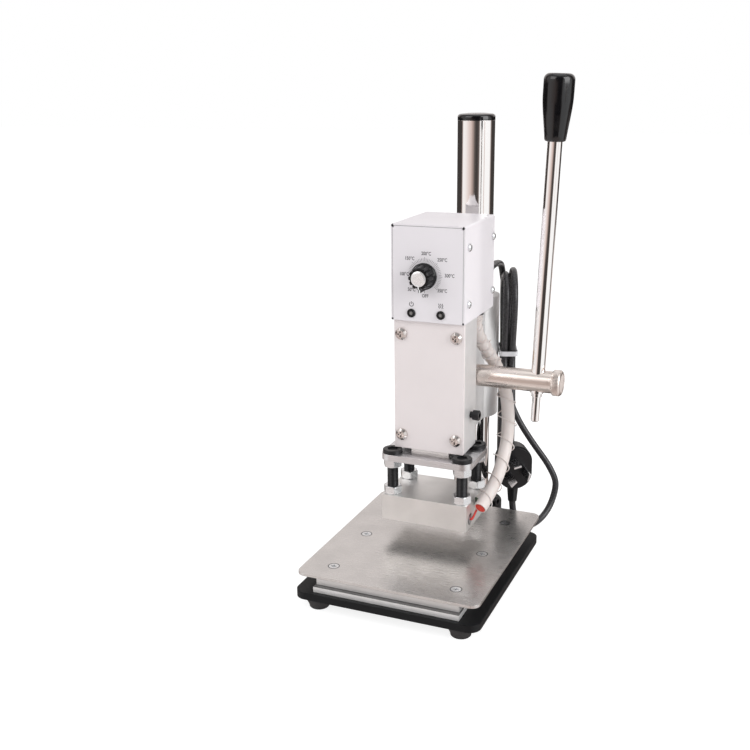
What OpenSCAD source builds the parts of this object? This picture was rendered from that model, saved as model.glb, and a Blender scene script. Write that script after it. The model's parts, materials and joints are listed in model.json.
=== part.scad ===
// Hot foil stamping press for a bench. A heated block hangs from a ram that a hand lever drives
// through a pinion and rack. The head that carries them is clamped on a round column, and the work
// lies on a plate that slides on a dovetail.
// Millimetres, +Z up, front towards -Y, lever on the right (+X).
// The origin is the centre of the work plate's top face.

/* [Base] */
// Width of the base plate
base_w = 144; // [140:1:160]
// Depth of the base plate under the table
base_d = 166; // [160:1:172]
// Thickness of the base plate
base_t = 5.5; // [5:0.5:8]
// Radius of the base plate's corners
base_corner_r = 9; // [4:1:14]
// How far the base plate's centre lies in front of the table's centre
base_forward = 5; // [3:1:8]
// Distance from the table's centre back to the column's axis
column_reach = 115; // [114:1:124]

/* [Feet] */
// Height of the rubber feet
foot_h = 9.3; // [8:0.1:14]
// Diameter of a foot under the base plate
foot_top_d = 21; // [19:0.5:24]
// Diameter of a foot on the bench
foot_floor_d = 15; // [14:0.5:18]
// Distance of the feet's axes from the base plate's sides
foot_inset_x = 16; // [14:1:24]
// Distance of the feet's axes from the base plate's front and back edges
foot_inset_y = 12; // [12:1:24]

/* [Work table] */
// Width of the work plate
table_w = 142; // [130:1:150]
// Depth of the work plate
table_d = 169.6; // [164:0.2:172]
// Thickness of the work plate
table_t = 2.2; // [2.2:0.1:4]
// Radius of the work plate's corners
table_corner_r = 7; // [3:1:12]
// Distance across between the two rows of plate screws
table_screw_dx = 97; // [90:1:100]
// Distance along a row between plate screws
table_screw_dy = 61; // [50:1:64]

/* [Slide] */
// Width of the carriage under the work plate
carriage_w = 112; // [110:1:118]
// Length of the carriage
carriage_d = 160; // [150:1:162]
// Height of the carriage
carriage_h = 7.5; // [7.5:0.5:10]
// Width of the fixed rail
rail_w = 114; // [110:1:120]
// Length of the fixed rail
rail_d = 158; // [150:1:160]
// Thickness of the rail's flat part
rail_h = 4.2; // [4:0.1:6]
// Width of the dovetail rib at its top
dovetail_w = 46; // [40:1:54]

/* [Column] */
// Outer diameter of the column tube
column_d = 30; // [29:0.5:31]
// Wall of the column tube
column_wall = 3; // [2:0.5:4]
// Height of the column's cap above the work plate
column_top = 321.4; // [300:0.2:340]
// Wall of the clamp sleeve round the column
sleeve_wall = 6.5; // [6:0.5:8]

/* [Head] */
// Height of the head's lower end above the work plate
head_z = 73.5; // [73:0.5:78]
// Height of the head's extruded body
head_h = 103; // [101:1:106]
// Width of the head's channel
head_w = 56; // [54:0.5:57]
// Thickness of the front cover
cover_t = 3; // [2:0.5:4]
// Width of the neck between channel and sleeve
neck_w = 30; // [28:0.5:30]

/* [Ram and pinion] */
// Width of the ram
ram_w = 31; // [30:0.5:32]
// Depth of the ram in front of its rack
ram_d = 23.7; // [23:0.1:24.5]
// Tooth size of the rack and pinion
rack_module = 1.5; // [1.5:0.05:1.6]
// Number of teeth on the pinion
pinion_teeth = 14; // [14:1:15]
// Diameter of the pinion shaft
shaft_d = 17; // [15:0.1:17.1]

/* [Lever] */
// Distance of the lever from the machine's middle plane
lever_x = 74.3; // [68:0.1:80]
// Diameter of the lever rod
lever_d = 10.7; // [9.6:0.1:11]
// Length of the lever from the shaft's axis to the top of the grip
lever_up = 227; // [200:1:250]
// Length of the lever from the shaft's axis to its lower end
lever_down = 32.6; // [28:0.2:38]
// Lean of the lever to the right, in degrees
lever_lean = 2.2; // [0:0.1:4]
// Length of the grip
grip_l = 47; // [40:1:60]
// Diameter of the grip at its top
grip_d = 22; // [20:0.5:26]
// Diameter of the grip at its lower end
grip_low_d = 15; // [13:0.5:17]

/* [Heating block] */
// Width of the hanger plate under the ram
hanger_w = 74; // [73:1:80]
// Depth of the hanger plate
hanger_d = 51; // [50:1:56]
// Thickness of the hanger plate
hanger_t = 5; // [4:0.5:6]
// Free height between hanger plate and heating block
hanger_gap = 28.8; // [26:0.2:30]
// Distance across between the hanger bolts
bolt_dx = 57.4; // [55:0.2:57.8]
// Distance from front to back between the hanger bolts
bolt_dy = 35; // [34:0.5:36]
// Width of the heating block
block_w = 70; // [69:0.5:72]
// Depth of the heating block
block_d = 50; // [48:1:54]
// Height of the heating block
block_h = 20.8; // [19:0.2:22]

/* [Control box] */
// Width of the control box
box_w = 58; // [57:0.2:60]
// Depth of the control box
box_d = 70.9; // [69:0.1:72]
// Height of the control box
box_h = 72.5; // [68:0.5:80]
// Thickness of the sheet metal
sheet_t = 1.2; // [1:0.1:1.4]
// Place of the dial to the right of the middle
dial_x = -2.2; // [-4:0.1:4]
// Height of the dial above the box's floor
dial_up = 34.9; // [33:0.1:38]
// Diameter of the dial knob
knob_d = 20; // [18:0.5:22]
// Distance between the two lamps
lamp_dx = 23.3; // [20:0.1:28]

/* [Cords] */
// Diameter of the mains cord
cord_d = 5.6; // [5:0.1:5.8]
// Diameter of the wrapped heater lead
hose_d = 10.5; // [9:0.1:10.6]

/* [Hidden] */
$fn = 64;

// Over-run of every cut, and the fits between parts
cut = 1;
fit = 0.05;
slide_play = 0.3;
ram_play = 0.1;

// Levels of the table, slide, base and bench
carriage_top = -table_t;
carriage_low = carriage_top - carriage_h;
rail_top = carriage_low - slide_play;
base_top = rail_top - rail_h;
base_low = base_top - base_t;
floor_z = base_low - foot_h;

// Dovetail of the slide
rib_h = slide_play + 4.2;
rib_lean = 3;
groove_play = 0.15;
groove_web = 3;
rib_front = -carriage_d / 2 + groove_web + 0.7;

// Column foot and its fastening
column_r = column_d / 2;
flange_r = column_r + 12;
flange_t = 4.8;
collar_r = column_r + 7;
collar_h = 16.2;
cap_t = 3;
cap_plug = 10;
socket_bolt_r = column_r + 3.5;
socket_bolt_l = 11.5;
socket_screw_turn = -15;
socket_screw_z = base_top + 9.4;
socket_head_r = 4;
socket_head_l = 5;
washer_t = 1;
washer_r = 4.5;

// Screws that recur
m3 = 3;
m4 = 4;
m5 = 5;
m6 = 6;
m8 = 8;

// Places across the head from front to back
head_front = 7.2;
channel_front = head_front + cover_t;
ram_front = channel_front + slide_play;
ram_back = ram_front + ram_d;
slot_back = ram_back + slide_play;
channel_back = slot_back + 3;
head_top = head_z + head_h;
sleeve_r = column_r + sleeve_wall;

// Rack and pinion, with shortened rack teeth that clear the small pinion's roots
pressure = 20;
tooth_pitch = PI * rack_module;
pitch_r = rack_module * pinion_teeth / 2;
tip_r = pitch_r + rack_module;
root_r = pitch_r - 1.25 * rack_module;
base_circle_r = pitch_r * cos(pressure);
backlash = 0.1;
rack_root_y = ram_back + 0.425;
pitch_y = rack_root_y + 1.25 * rack_module;
rack_tip_y = pitch_y + 0.8 * rack_module;
pinion_y = pitch_y + pitch_r;
pinion_z = head_z + 53.5;
rack_w = 17.2;
pinion_w = 18.4;
rack_first = -3;
rack_last = 6;
flank_steps = 4;
shaft_r = shaft_d / 2;
bush_bore_r = tip_r + 0.4;
bush_in = pinion_w / 2 + 0.4;

// Ram, its liners and its return spring
ram_low = head_z - 3.5;
ram_top = head_z + 91.5;
ram_mid_y = (ram_front + ram_back) / 2;
liner_t = 3;
slot_half = ram_w / 2 + 1.5;
pocket_half = ram_w / 2 + ram_play + liner_t + fit;
pocket_low = head_z + 8;
pocket_high = head_top - 14;
gib_y = channel_front + 14.8;
gib_z = head_z + 27.5;
gib_neck = 2.3;
gib_head_r = 4;
gib_head_l = 5;
spring_bore_r = 5.5;
spring_plug_t = 4;
spring_low = head_z + 48.5;
anchor_t = 4;
anchor_half = 19.5;
anchor_d = 8;
spring_r = 3.9;
spring_wire = 1.2;
spring_loops = 10;
spring_high = head_top - anchor_t;

// Clamp ears and neck cavity
ear_w = 16;
ear_reach = sleeve_r + 10;
slit_w = 3;
clamp_y = column_reach + sleeve_r + 4.5;
clamp_z = [head_z + 22, head_top - 22];
clamp_head_r = 5;
clamp_head_l = 6;
cavity_w = 18;
cavity_front = pinion_y + bush_bore_r + 3;
cavity_back = column_reach - sleeve_r - 3;

// Front cover screws
cover_screw_x = 22;
cover_screw_z = [head_z + 11.3, head_top - 11.1];
cover_head_d = 9.2;
cover_screw_l = 9;

// Shaft end and lever
shaft_left = -20;
shaft_right = lever_x + 9.7;
lock_d = 20;
lock_l = 11;
lock_edge = 1.2;
lever_r = lever_d / 2;
lever_shoulder_r = 4.1;
lever_shoulder_l = 3;
lever_tail_r = 3.25;
lever_stub_r = 4;
lever_stub_l = 30;
grip_low = lever_up - grip_l;

// Hanger, bolts and block
hanger_y = 21.4;
hanger_top = ram_low;
hanger_low = hanger_top - hanger_t;
hanger_corner_r = 8;
block_top = hanger_low - hanger_gap;
block_low = block_top - block_h;
bolt_head_r = 7.75;
bolt_head_h = 3;
bolt_deep = 8;
nut_af = 13;
nut_h = 6.5;
cartridge_r = 4.7;
cartridge_l = 60;
cartridge_dy = 30.8;
cartridge_z = block_low + 7;
probe_r = 2.5;
probe_l = 22;
probe_z = block_low + 11;
ram_screw_dx = 20;
ram_screw_dy = 13;
ram_screw_l = 16;

// Control box
box_front = head_front - 3;
box_back = box_front + box_d;
box_low = head_top;
box_top = box_low + box_h;
seam = 0.15;
notch = 1.2;
bend_r = 1.4;
chassis_half = box_w / 2 - sheet_t - seam;
chassis_top = box_top - sheet_t - seam;
flange_w = 14;
box_screw_y = [box_front + 8.8, box_back - 4.1];
box_screw_z = [box_low + 14, box_low + 56.3];
box_head_d = 6;
dial_z = box_low + dial_up;
knob_l = 12.4;
knob_gap = 0.8;
knob_cap_r = 5.7;
knob_flutes = 12;
spindle_r = 3;
spindle_back = 10;
thermo_r = 11;
thermo_l = 14;
thermo_bush_r = 4.6;
lamp_mid = -1.1;
lamp_z = box_low + 6.2;
lamp_bezel_r = 3.3;
lamp_body_r = 2.4;
lamp_lens_r = 1.7;
lamp_l = 12;
mount_x = 23;
mount_y = channel_front + 13.8;
mount_l = 10;
board_x = [-24, 12];
board_y = [box_front + 23, box_back - 8];
board_z = box_low + sheet_t + 6;
board_t = 1.6;
spacer_r = 2.5;

// Heater lead: from the grommet under the box, behind the shaft, to the block's right side.
// Each point is place across, place back and share of the height between its two ends.
grommet_x = neck_w / 2 + 6.2;
grommet_y = 56;
grommet_r = 5.9;
grommet_neck_r = 4.4;
grommet_drop = 3;
hose_top = box_low - grommet_drop;
hose_low = block_top - 4.7;
hose_route = [
    [grommet_x, grommet_y, 1],
    [grommet_x, grommet_y, 0.93],
    [24, 58, 0.86],
    [30, 61, 0.78],
    [36.5, 63, 0.7],
    [42.5, 63.5, 0.6],
    [46, 63, 0.5],
    [47.5, 62, 0.39],
    [48, 58, 0.29],
    [48, 50, 0.21],
    [47.5, 40, 0.14],
    [46, 29, 0.08],
    [44, 18, 0.034],
    [42, 9, 0]
];
hose_sides = 10;

// Heater wires: from the lead's open end into the block's right face. Each has its angle in the
// lead's end and its points, out from the face, back from the block's middle and up from its foot.
wire_r = 0.9;
wire_sides = 6;
wire_off = 2.2;
wire_face = block_w / 2 + 0.4;
wire_routes = [
    [60, [[4.4, -16.8, 11.8], [3.2, -17.8, 9.6], [1.8, -16.8, 7.6], [1, -15.4, 7], [0, -15.4, 7]]],
    [-60, [
        [2.8, -17.6, 14.6], [1.5, -15.9, 12.8], [1.3, -11.4, 11.6], [1.5, -5, 11],
        [1.5, -1.6, 11], [0.9, 0, 11], [0, 0, 11]
    ]],
    [180, [
        [7.1, -18.4, 12.1], [5.6, -19.2, 8.1], [4.4, -17.4, 4.6], [3.6, -12.4, 3.2], [3, -3.4, 3],
        [2.6, 6.6, 4], [2.2, 13.1, 6], [1.6, 15.1, 7], [0.8, 15.4, 7], [0, 15.4, 7]
    ]]
];

// Mains cord: gland, lead, hank with its tie, tail and plug, placed about the column's axis
cord_r = cord_d / 2;
gland_x = column_r + 3.5;
gland_z = head_top + 26.5;
gland_flange_r = 7.4;
gland_flange_t = 3;
gland_nut_t = 4;
gland_hole_r = 5;
gland_low_r = 5.6;
gland_end_r = 3.7;
gland_end = -15;
cord_sides = 8;
lead_route = [
    [gland_x, gland_end, gland_z],
    [gland_x, -7, gland_z],
    [gland_x, 3, gland_z],
    [17.6, 18.5, gland_z - 4],
    [16.2, 29.5, gland_z - 15.5]
];
hank_turn = 20;
hank_near = sleeve_r + 1.9 + cord_r;
layer_step = cord_d + 0.8;
loop_step = cord_d + 0.8;
waist_step = cord_d + 1.6;
waist_least = 3.4;
fold_r = 3 * cord_d;
hank_high = gland_z - 31;
hank_low = 34;
waist_z = 128;
waist_reach = 44;
hank_turns = 3.15;
loop_rings = 24;
hank_sides = 6;
turn_back = 1.5;
climb = 0.25;
tie_h = 4;
tie_t = 0.8;
tie_corner_r = 3;
tie_play = 0.85;
tail_route = [
    [22.2, 35.4, 83],
    [25.2, 36.8, 70],
    [32.2, 36, 56.5],
    [41, 34.8, 44.2],
    [50, 33.6, 33.2],
    [58.2, 32.8, 23.4],
    [64.6, 32.4, 13.4]
];

// The tail's loop on the bench: a half turn from where it hangs straight to the plug above its end
tail_low = [68, 32.4];
plug_at = [44, -22];
tail_mid = (tail_low + plug_at) / 2;
tail_arm = (tail_low - plug_at) / 2;
tail_turn_r = norm(tail_arm);
tail_turn_z = floor_z + cord_r + 0.15 + tail_turn_r;
tail_steps = 8;
tail_turn = [
    for (i = [0 : tail_steps])
        let (
            a = 180 * i / tail_steps,
            p = tail_mid + cos(a) * tail_arm
        )
        [p[0], p[1], tail_turn_z - tail_turn_r * sin(a)]
];
plug_low = tail_turn_z + 1.5;
plug_turn = -60;
plug_relief = 13;
plug_w = 29;
plug_h = 38;
plug_t = 13;
plug_step = 1.5;
plug_corner_r = 14;
plug_mid = plug_relief + plug_h / 2;

// The three blades: place across and up on the plug's face, lean, and free length
blade_w = 6.3;
blade_t = 1.5;
blade_deep = 5;
blade_spin = -45;
blades = [
    [-6.85, 3.5, -30, 17],
    [6.85, 3.5, 30, 17],
    [0, -8.5, 0, 20]
];

// Colours as the machine shows them
c_black = [0.06, 0.06, 0.065];
c_rubber = [0.04, 0.04, 0.045];
c_white = [0.9, 0.89, 0.88];
c_alu = [0.72, 0.71, 0.7];
c_steel = [0.6, 0.6, 0.6];
c_chrome = [0.8, 0.8, 0.81];
c_nickel = [0.68, 0.62, 0.55];
c_zinc = [0.75, 0.74, 0.7];
c_brass = [0.7, 0.55, 0.25];
c_board = [0.1, 0.35, 0.15];
c_red = [0.6, 0.1, 0.08];

// Vectors and curves

function unit(v) = v / norm(v);
function smooth(x) = let (c = max(0, min(1, x))) c * c * (3 - 2 * c);
function mix(a, b, f) = a + (b - a) * f;
function polar(r, a) = [r * cos(a), r * sin(a)];

// Doubles the points of a route with a smooth curve through all of them
function rounded(p) = [
    for (i = [0 : len(p) - 1], half = [0, 1])
        if (i < len(p) - 1 || half == 0)
            half == 0 ? p[i] : halfway(p, i)
];
function halfway(p, i) = let (
    before = p[max(i - 1, 0)],
    after = p[min(i + 2, len(p) - 1)]
) (p[i] + p[i + 1]) * 9 / 16 - (before + after) / 16;

// Directions along a path, and a normal carried along it without twist
function tangents(p) = [
    for (i = [0 : len(p) - 1])
        unit(p[min(i + 1, len(p) - 1)] - p[max(i - 1, 0)])
];
function side_of(t) = unit(cross(t, abs(t[2]) < 0.9 ? [0, 0, 1] : [1, 0, 0]));
function carried(t, i, n) = i == len(t) ? [] :
    let (m = unit(n - (n * t[i]) * t[i]))
    concat([m], carried(t, i + 1, m));

// A round tube along a path, closed by a flat face at each end
module tube(path, r, sides) {
    t = tangents(path);
    n = carried(t, 0, side_of(t[0]));
    last = len(path) - 1;
    points = [
        for (i = [0 : last], k = [0 : sides - 1])
            let (a = 360 * k / sides)
            path[i] + r * (cos(a) * n[i] + sin(a) * cross(t[i], n[i]))
    ];
    walls = [
        for (i = [0 : last - 1], k = [0 : sides - 1], upper = [0, 1])
            let (
                a = i * sides + k,
                b = i * sides + (k + 1) % sides
            )
            upper == 0 ? [a, a + sides, b] : [b, a + sides, b + sides]
    ];
    ends = [
        [for (k = [0 : sides - 1]) k],
        [for (k = [sides - 1 : -1 : 0]) last * sides + k]
    ];
    polyhedron(points, concat(walls, ends));
}

// Repeated shapes

// A flat plate with round corners, centred, standing on its lower face
module rounded_plate(w, d, h, r) {
    translate([-w / 2, -d / 2 + r, 0])
        cube([w, d - 2 * r, h]);
    translate([-w / 2 + r, -d / 2, 0])
        cube([w - 2 * r, d, h]);
    for (x = [-1, 1], y = [-1, 1])
        translate([x * (w / 2 - r), y * (d / 2 - r), 0])
            cylinder(r = r, h = h);
}

// Turns a shape's own Z towards +X, -X or the front
module to_right() {
    rotate([0, 90, 0])
        children();
}
module to_left() {
    rotate([0, -90, 0])
        children();
}
module to_front() {
    rotate([90, 0, 0])
        children();
}

// A profile in the plane of Y and Z, drawn out along X about the middle plane
module drawn_along_x(w) {
    translate([-w / 2, 0, 0])
        rotate([90, 0, 90])
            linear_extrude(w)
                children();
}

// A profile in the plane of X and Z, drawn out from the front towards the back
module drawn_along_y(front, d) {
    translate([0, front + d, 0])
        rotate([90, 0, 0])
            linear_extrude(d)
                children();
}

// The cross recess of a screw, sunk from its top
module cross_recess(w, deep) {
    for (a = [0, 90])
        rotate(a)
            translate([-w / 2, -w / 8, -deep])
                cube([w, w / 4, deep + cut]);
}

// Pan-head screw: head above its seat, shank below
module pan_screw(head_d, shank_d, l) {
    head_h = head_d * 0.32;
    difference() {
        union() {
            cylinder(d = head_d, h = head_h / 2);
            translate([0, 0, head_h / 2])
                cylinder(d1 = head_d, d2 = head_d * 0.62, h = head_h / 2);
            translate([0, 0, -l])
                cylinder(d = shank_d, h = l + head_h / 2);
        }
        translate([0, 0, head_h])
            cross_recess(head_d * 0.5, head_h * 0.55);
    }
}

// Countersunk screw: head flush with its seat, shank below
module sunk_screw(shank_d, l) {
    difference() {
        union() {
            translate([0, 0, -shank_d / 2])
                cylinder(d1 = shank_d, d2 = 2 * shank_d, h = shank_d / 2);
            translate([0, 0, -l])
                cylinder(d = shank_d, h = l - shank_d / 4);
        }
        cross_recess(shank_d, shank_d * 0.3);
    }
}

// The hole that a countersunk screw sits in
module sunk_hole(shank_d, l) {
    translate([0, 0, -shank_d / 2 - fit])
        cylinder(d1 = shank_d + 2 * fit, d2 = 2 * shank_d + 2 * fit, h = shank_d / 2 + fit);
    translate([0, 0, -l - fit])
        cylinder(d = shank_d + 2 * fit, h = l + fit);
}

// Socket-head screw: head above its seat, shank below
module cap_screw(head_r, head_l, shank_d, l) {
    difference() {
        union() {
            cylinder(r = head_r, h = head_l - 0.5);
            translate([0, 0, head_l - 0.5])
                cylinder(r1 = head_r, r2 = head_r - 0.5, h = 0.5);
            translate([0, 0, -l])
                cylinder(d = shank_d, h = l + 0.5);
        }
        translate([0, 0, head_l / 2])
            cylinder(r = head_r * 0.58, h = head_l, $fn = 6);
    }
}

// Plain hole for a shank
module bore(d, l) {
    translate([0, 0, -l])
        cylinder(d = d + 2 * fit, h = l + cut);
}

// Places that several parts share

module at_column() {
    translate([0, column_reach, 0])
        children();
}
module at_feet() {
    for (x = [-1, 1], y = [-1, 1])
        translate([
            x * (base_w / 2 - foot_inset_x),
            y * (base_d / 2 - foot_inset_y) - base_forward,
            base_low
        ])
            children();
}
module at_rail_screws() {
    for (x = [-12, 12], y = [-55, 0, 55])
        translate([x, y - base_forward, base_low])
            rotate([180, 0, 0])
                children();
}
module at_socket_bolts() {
    for (a = [90, 210, 330])
        at_column()
            rotate(a)
                translate([socket_bolt_r, 0, base_low])
                    rotate([180, 0, 0])
                        children();
}
module at_socket_screw() {
    at_column()
        rotate(socket_screw_turn)
            translate([collar_r, 0, socket_screw_z])
                to_right()
                    children();
}
module at_table_screws() {
    for (x = [-0.5, 0.5], y = [-1, 0, 1])
        translate([x * table_screw_dx, y * table_screw_dy - 4.5, 0])
            children();
}
module at_cover_screws() {
    for (x = [-1, 1], z = cover_screw_z)
        translate([x * cover_screw_x, head_front, z])
            to_front()
                children();
}
module at_clamp_screws() {
    for (z = clamp_z)
        translate([-ear_w / 2, clamp_y, z])
            to_left()
                children();
}
module at_gib() {
    translate([head_w / 2, gib_y, gib_z])
        to_right()
            children();
}
module at_box_mounts() {
    for (x = [-1, 1])
        translate([x * mount_x, mount_y, box_low + sheet_t])
            children();
}
module at_box_screws() {
    for (y = box_screw_y, z = box_screw_z) {
        translate([box_w / 2, y, z])
            to_right()
                children();
        translate([-box_w / 2, y, z])
            to_left()
                children();
    }
}
module at_dial() {
    translate([dial_x, box_front, dial_z])
        to_front()
            children();
}
module at_lamps() {
    for (side = [-0.5, 0.5])
        translate([lamp_mid + side * lamp_dx, box_front, lamp_z])
            to_front()
                children();
}
module at_gland() {
    translate([gland_x, box_back, gland_z])
        rotate([-90, 0, 0])
            children();
}
module at_spacers() {
    for (x = [board_x[0] + 4, board_x[1] - 4], y = [board_y[0] + 4, board_y[1] - 4])
        translate([x, y, box_low + sheet_t])
            children();
}
module at_hanger_bolts() {
    for (x = [-0.5, 0.5], y = [-0.5, 0.5])
        translate([x * bolt_dx, hanger_y + y * bolt_dy, 0])
            children();
}
module at_ram_screws() {
    for (x = [-0.5, 0.5], y = [-0.5, 0.5])
        translate([x * ram_screw_dx, ram_mid_y + y * ram_screw_dy, hanger_low])
            rotate([180, 0, 0])
                children();
}
module at_cartridges() {
    for (y = [-0.5, 0.5])
        translate([block_w / 2, hanger_y + y * cartridge_dy, cartridge_z])
            to_right()
                children();
}
module at_probe() {
    translate([block_w / 2, hanger_y, probe_z])
        to_right()
            children();
}
module at_lever() {
    translate([lever_x, pinion_y, pinion_z])
        rotate([0, lever_lean, 0])
            children();
}
module at_shaft_end() {
    translate([shaft_right, pinion_y, pinion_z])
        to_right()
            children();
}
module at_plug() {
    translate([plug_at[0], column_reach + plug_at[1], plug_low])
        rotate(plug_turn)
            children();
}

// Base, feet, rail and column

module base_plate() {
    color(c_black)
        difference() {
            union() {
                translate([0, -base_forward, base_low])
                    rounded_plate(base_w, base_d, base_t, base_corner_r);
                translate([-flange_r, 0, base_low])
                    cube([2 * flange_r, column_reach, base_t]);
                at_column()
                    translate([0, 0, base_low])
                        cylinder(r = flange_r, h = base_t);
            }
            at_rail_screws()
                sunk_hole(m4, base_t + cut);
            at_socket_bolts()
                sunk_hole(m5, base_t + cut);
            at_feet()
                translate([0, 0, base_t - cut])
                    bore(m4, base_t);
        }
}

// Feet that flare smoothly into the plate above them, each with a recess for its screw
module rubber_feet() {
    steps = 8;
    waist = [
        for (i = [0 : steps])
            let (f = i / steps)
            [mix(foot_top_d, foot_floor_d, smooth(f)) / 2, -f * (foot_h - 0.6)]
    ];
    profile = concat([[0, 0]], waist, [[foot_floor_d / 2 - 0.6, -foot_h], [0, -foot_h]]);
    color(c_rubber)
        at_feet()
            difference() {
                rotate_extrude()
                    polygon(profile);
                translate([0, 0, -foot_h - cut])
                    cylinder(d = 2 * m4 + 1, h = foot_h / 2 + cut);
                translate([0, 0, cut])
                    bore(m4, foot_h);
            }
}

module foot_screws() {
    color(c_zinc)
        at_feet()
            translate([0, 0, -foot_h / 2])
                rotate([180, 0, 0])
                    pan_screw(2 * m4, m4, foot_h / 2 + base_t - 1.5);
}

// The dovetail rib, grown sideways and upwards by a play
module dovetail(play, rise) {
    half = dovetail_w / 2 + play;
    polygon([
        [-half + rib_lean, -cut],
        [half - rib_lean, -cut],
        [half - rib_lean, 0],
        [half, rib_h + rise],
        [-half, rib_h + rise],
        [-half + rib_lean, 0]
    ]);
}

module slide_rail() {
    front = -base_forward - rail_d / 2;
    back = front + rail_d;
    color(c_alu)
        difference() {
            union() {
                translate([-rail_w / 2, front, base_top])
                    cube([rail_w, rail_d, rail_h]);
                drawn_along_y(rib_front, back - rib_front)
                    translate([0, rail_top])
                        dovetail(0, 0);
            }
            at_rail_screws()
                bore(m4, base_t + 6.5);
        }
}

module rail_screws() {
    color(c_zinc)
        at_rail_screws()
            sunk_screw(m4, base_t + 6);
}

module column_socket() {
    color(c_black)
        difference() {
            at_column()
                translate([0, 0, base_top]) {
                    cylinder(r = flange_r, h = flange_t);
                    cylinder(r = collar_r, h = collar_h - 1);
                    translate([0, 0, collar_h - 1])
                        cylinder(r1 = collar_r, r2 = collar_r - 1, h = 1);
                }
            at_column()
                translate([0, 0, base_top - cut])
                    cylinder(r = column_r + fit, h = collar_h + 2 * cut);
            at_socket_bolts()
                bore(m5, socket_bolt_l + 0.5);
            at_socket_screw()
                bore(m6, collar_r - column_r + cut);
        }
}

module socket_bolts() {
    color(c_zinc)
        at_socket_bolts()
            sunk_screw(m5, socket_bolt_l);
}

module socket_clamp_screw() {
    color(c_black)
        at_socket_screw()
            translate([0, 0, washer_t])
                cap_screw(socket_head_r, socket_head_l, m6, collar_r - column_r + washer_t - 2 * fit);
}

module socket_washer() {
    color(c_zinc)
        at_socket_screw()
            difference() {
                cylinder(r = washer_r, h = washer_t);
                translate([0, 0, washer_t])
                    bore(m6, 2 * washer_t);
            }
}

module column() {
    color(c_chrome)
        at_column()
            translate([0, 0, base_top])
                difference() {
                    cylinder(r = column_r, h = column_top - cap_t - base_top);
                    translate([0, 0, -cut])
                        cylinder(r = column_r - column_wall, h = column_top - base_top);
                }
}

module column_cap() {
    color(c_black)
        at_column()
            translate([0, 0, column_top - cap_t]) {
                cylinder(r = column_r, h = cap_t - 1);
                translate([0, 0, cap_t - 1])
                    cylinder(r1 = column_r, r2 = column_r - 1, h = 1);
                translate([0, 0, -cap_plug])
                    cylinder(r = column_r - column_wall - fit, h = cap_plug + 1);
            }
}

// Sliding table

module table_plate() {
    color(c_steel)
        difference() {
            translate([0, 0, carriage_top])
                rounded_plate(table_w, table_d, table_t, table_corner_r);
            at_table_screws()
                sunk_hole(m4, table_t + cut);
        }
}

// The groove stops short of the front, where a web hides the rib and is the table's back stop
module table_carriage() {
    groove_front = -carriage_d / 2 + groove_web;
    color(c_alu)
        difference() {
            translate([-carriage_w / 2, -carriage_d / 2, carriage_low])
                cube([carriage_w, carriage_d, carriage_h]);
            drawn_along_y(groove_front, carriage_d - groove_web + cut)
                translate([0, rail_top])
                    dovetail(groove_play, fit);
            at_table_screws()
                bore(m4, table_t + 6);
        }
}

module table_screws() {
    color(c_zinc)
        at_table_screws()
            sunk_screw(m4, table_t + 5.5);
}

// Head on the column

module head_body() {
    color(c_alu)
        difference() {
            union() {
                translate([-head_w / 2, channel_front, head_z])
                    cube([head_w, channel_back - channel_front, head_h]);
                translate([-neck_w / 2, channel_back - cut, head_z])
                    cube([neck_w, column_reach - channel_back, head_h]);
                at_column()
                    translate([0, 0, head_z])
                        cylinder(r = sleeve_r, h = head_h);
                translate([-ear_w / 2, column_reach, head_z])
                    cube([ear_w, ear_reach, head_h]);
            }
            head_openings();
            head_bores();
        }
}

// The slot for the ram, its liner pockets, the rack groove, the cavity and the clamp slit
module head_openings() {
    tall = head_h + 2 * cut;
    low = head_z - cut;
    translate([-slot_half, channel_front - cut, low])
        cube([2 * slot_half, slot_back - channel_front + cut, tall]);
    translate([-pocket_half, ram_front + 1.5 - fit, pocket_low - fit])
        cube([2 * pocket_half, ram_d - 3 + 2 * fit, pocket_high - pocket_low + 2 * fit]);
    translate([-rack_w / 2 - 0.6, slot_back - cut, low])
        cube([rack_w + 1.2, rack_tip_y + 0.6 - slot_back + cut, tall]);
    translate([-cavity_w / 2, cavity_front, low])
        cube([cavity_w, cavity_back - cavity_front, tall]);
    translate([-slit_w / 2, column_reach, low])
        cube([slit_w, ear_reach + cut, tall]);
    translate([-anchor_half - fit, ram_mid_y - anchor_d / 2 - fit, head_top - anchor_t])
        cube([2 * (anchor_half + fit), anchor_d + 2 * fit, anchor_t + cut]);
}

module head_bores() {
    at_column()
        translate([0, 0, head_z - cut])
            cylinder(r = column_r + fit, h = head_h + 2 * cut);
    translate([-neck_w / 2 - cut / 10, pinion_y, pinion_z])
        to_right()
            cylinder(r = bush_bore_r, h = neck_w + cut / 5);
    at_cover_screws()
        bore(m4, cover_t + cover_screw_l + 0.5);
    at_clamp_screws()
        bore(m6, ear_w + cut);
    at_gib()
        bore(m5, head_w / 2 - slot_half);
    at_box_mounts()
        bore(m4, sheet_t + mount_l + 0.5);
}

module front_cover() {
    color(c_white)
        difference() {
            translate([-head_w / 2, head_front, head_z])
                cube([head_w, cover_t, head_h]);
            at_cover_screws()
                bore(m4, cover_t + cut);
        }
}

module cover_screws() {
    color(c_nickel)
        at_cover_screws()
            pan_screw(cover_head_d, m4, cover_t + cover_screw_l);
}

module guide_liners() {
    color(c_brass)
        for (side = [-1, 1])
            translate([
                side * (ram_w / 2 + ram_play + liner_t / 2) - liner_t / 2,
                ram_front + 1.5,
                pocket_low
            ])
                cube([liner_t, ram_d - 3, pocket_high - pocket_low]);
}

module gib_screw() {
    color(c_black)
        at_gib()
            translate([0, 0, gib_neck])
                cap_screw(gib_head_r, gib_head_l, m5, head_w / 2 - pocket_half + gib_neck);
}

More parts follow.
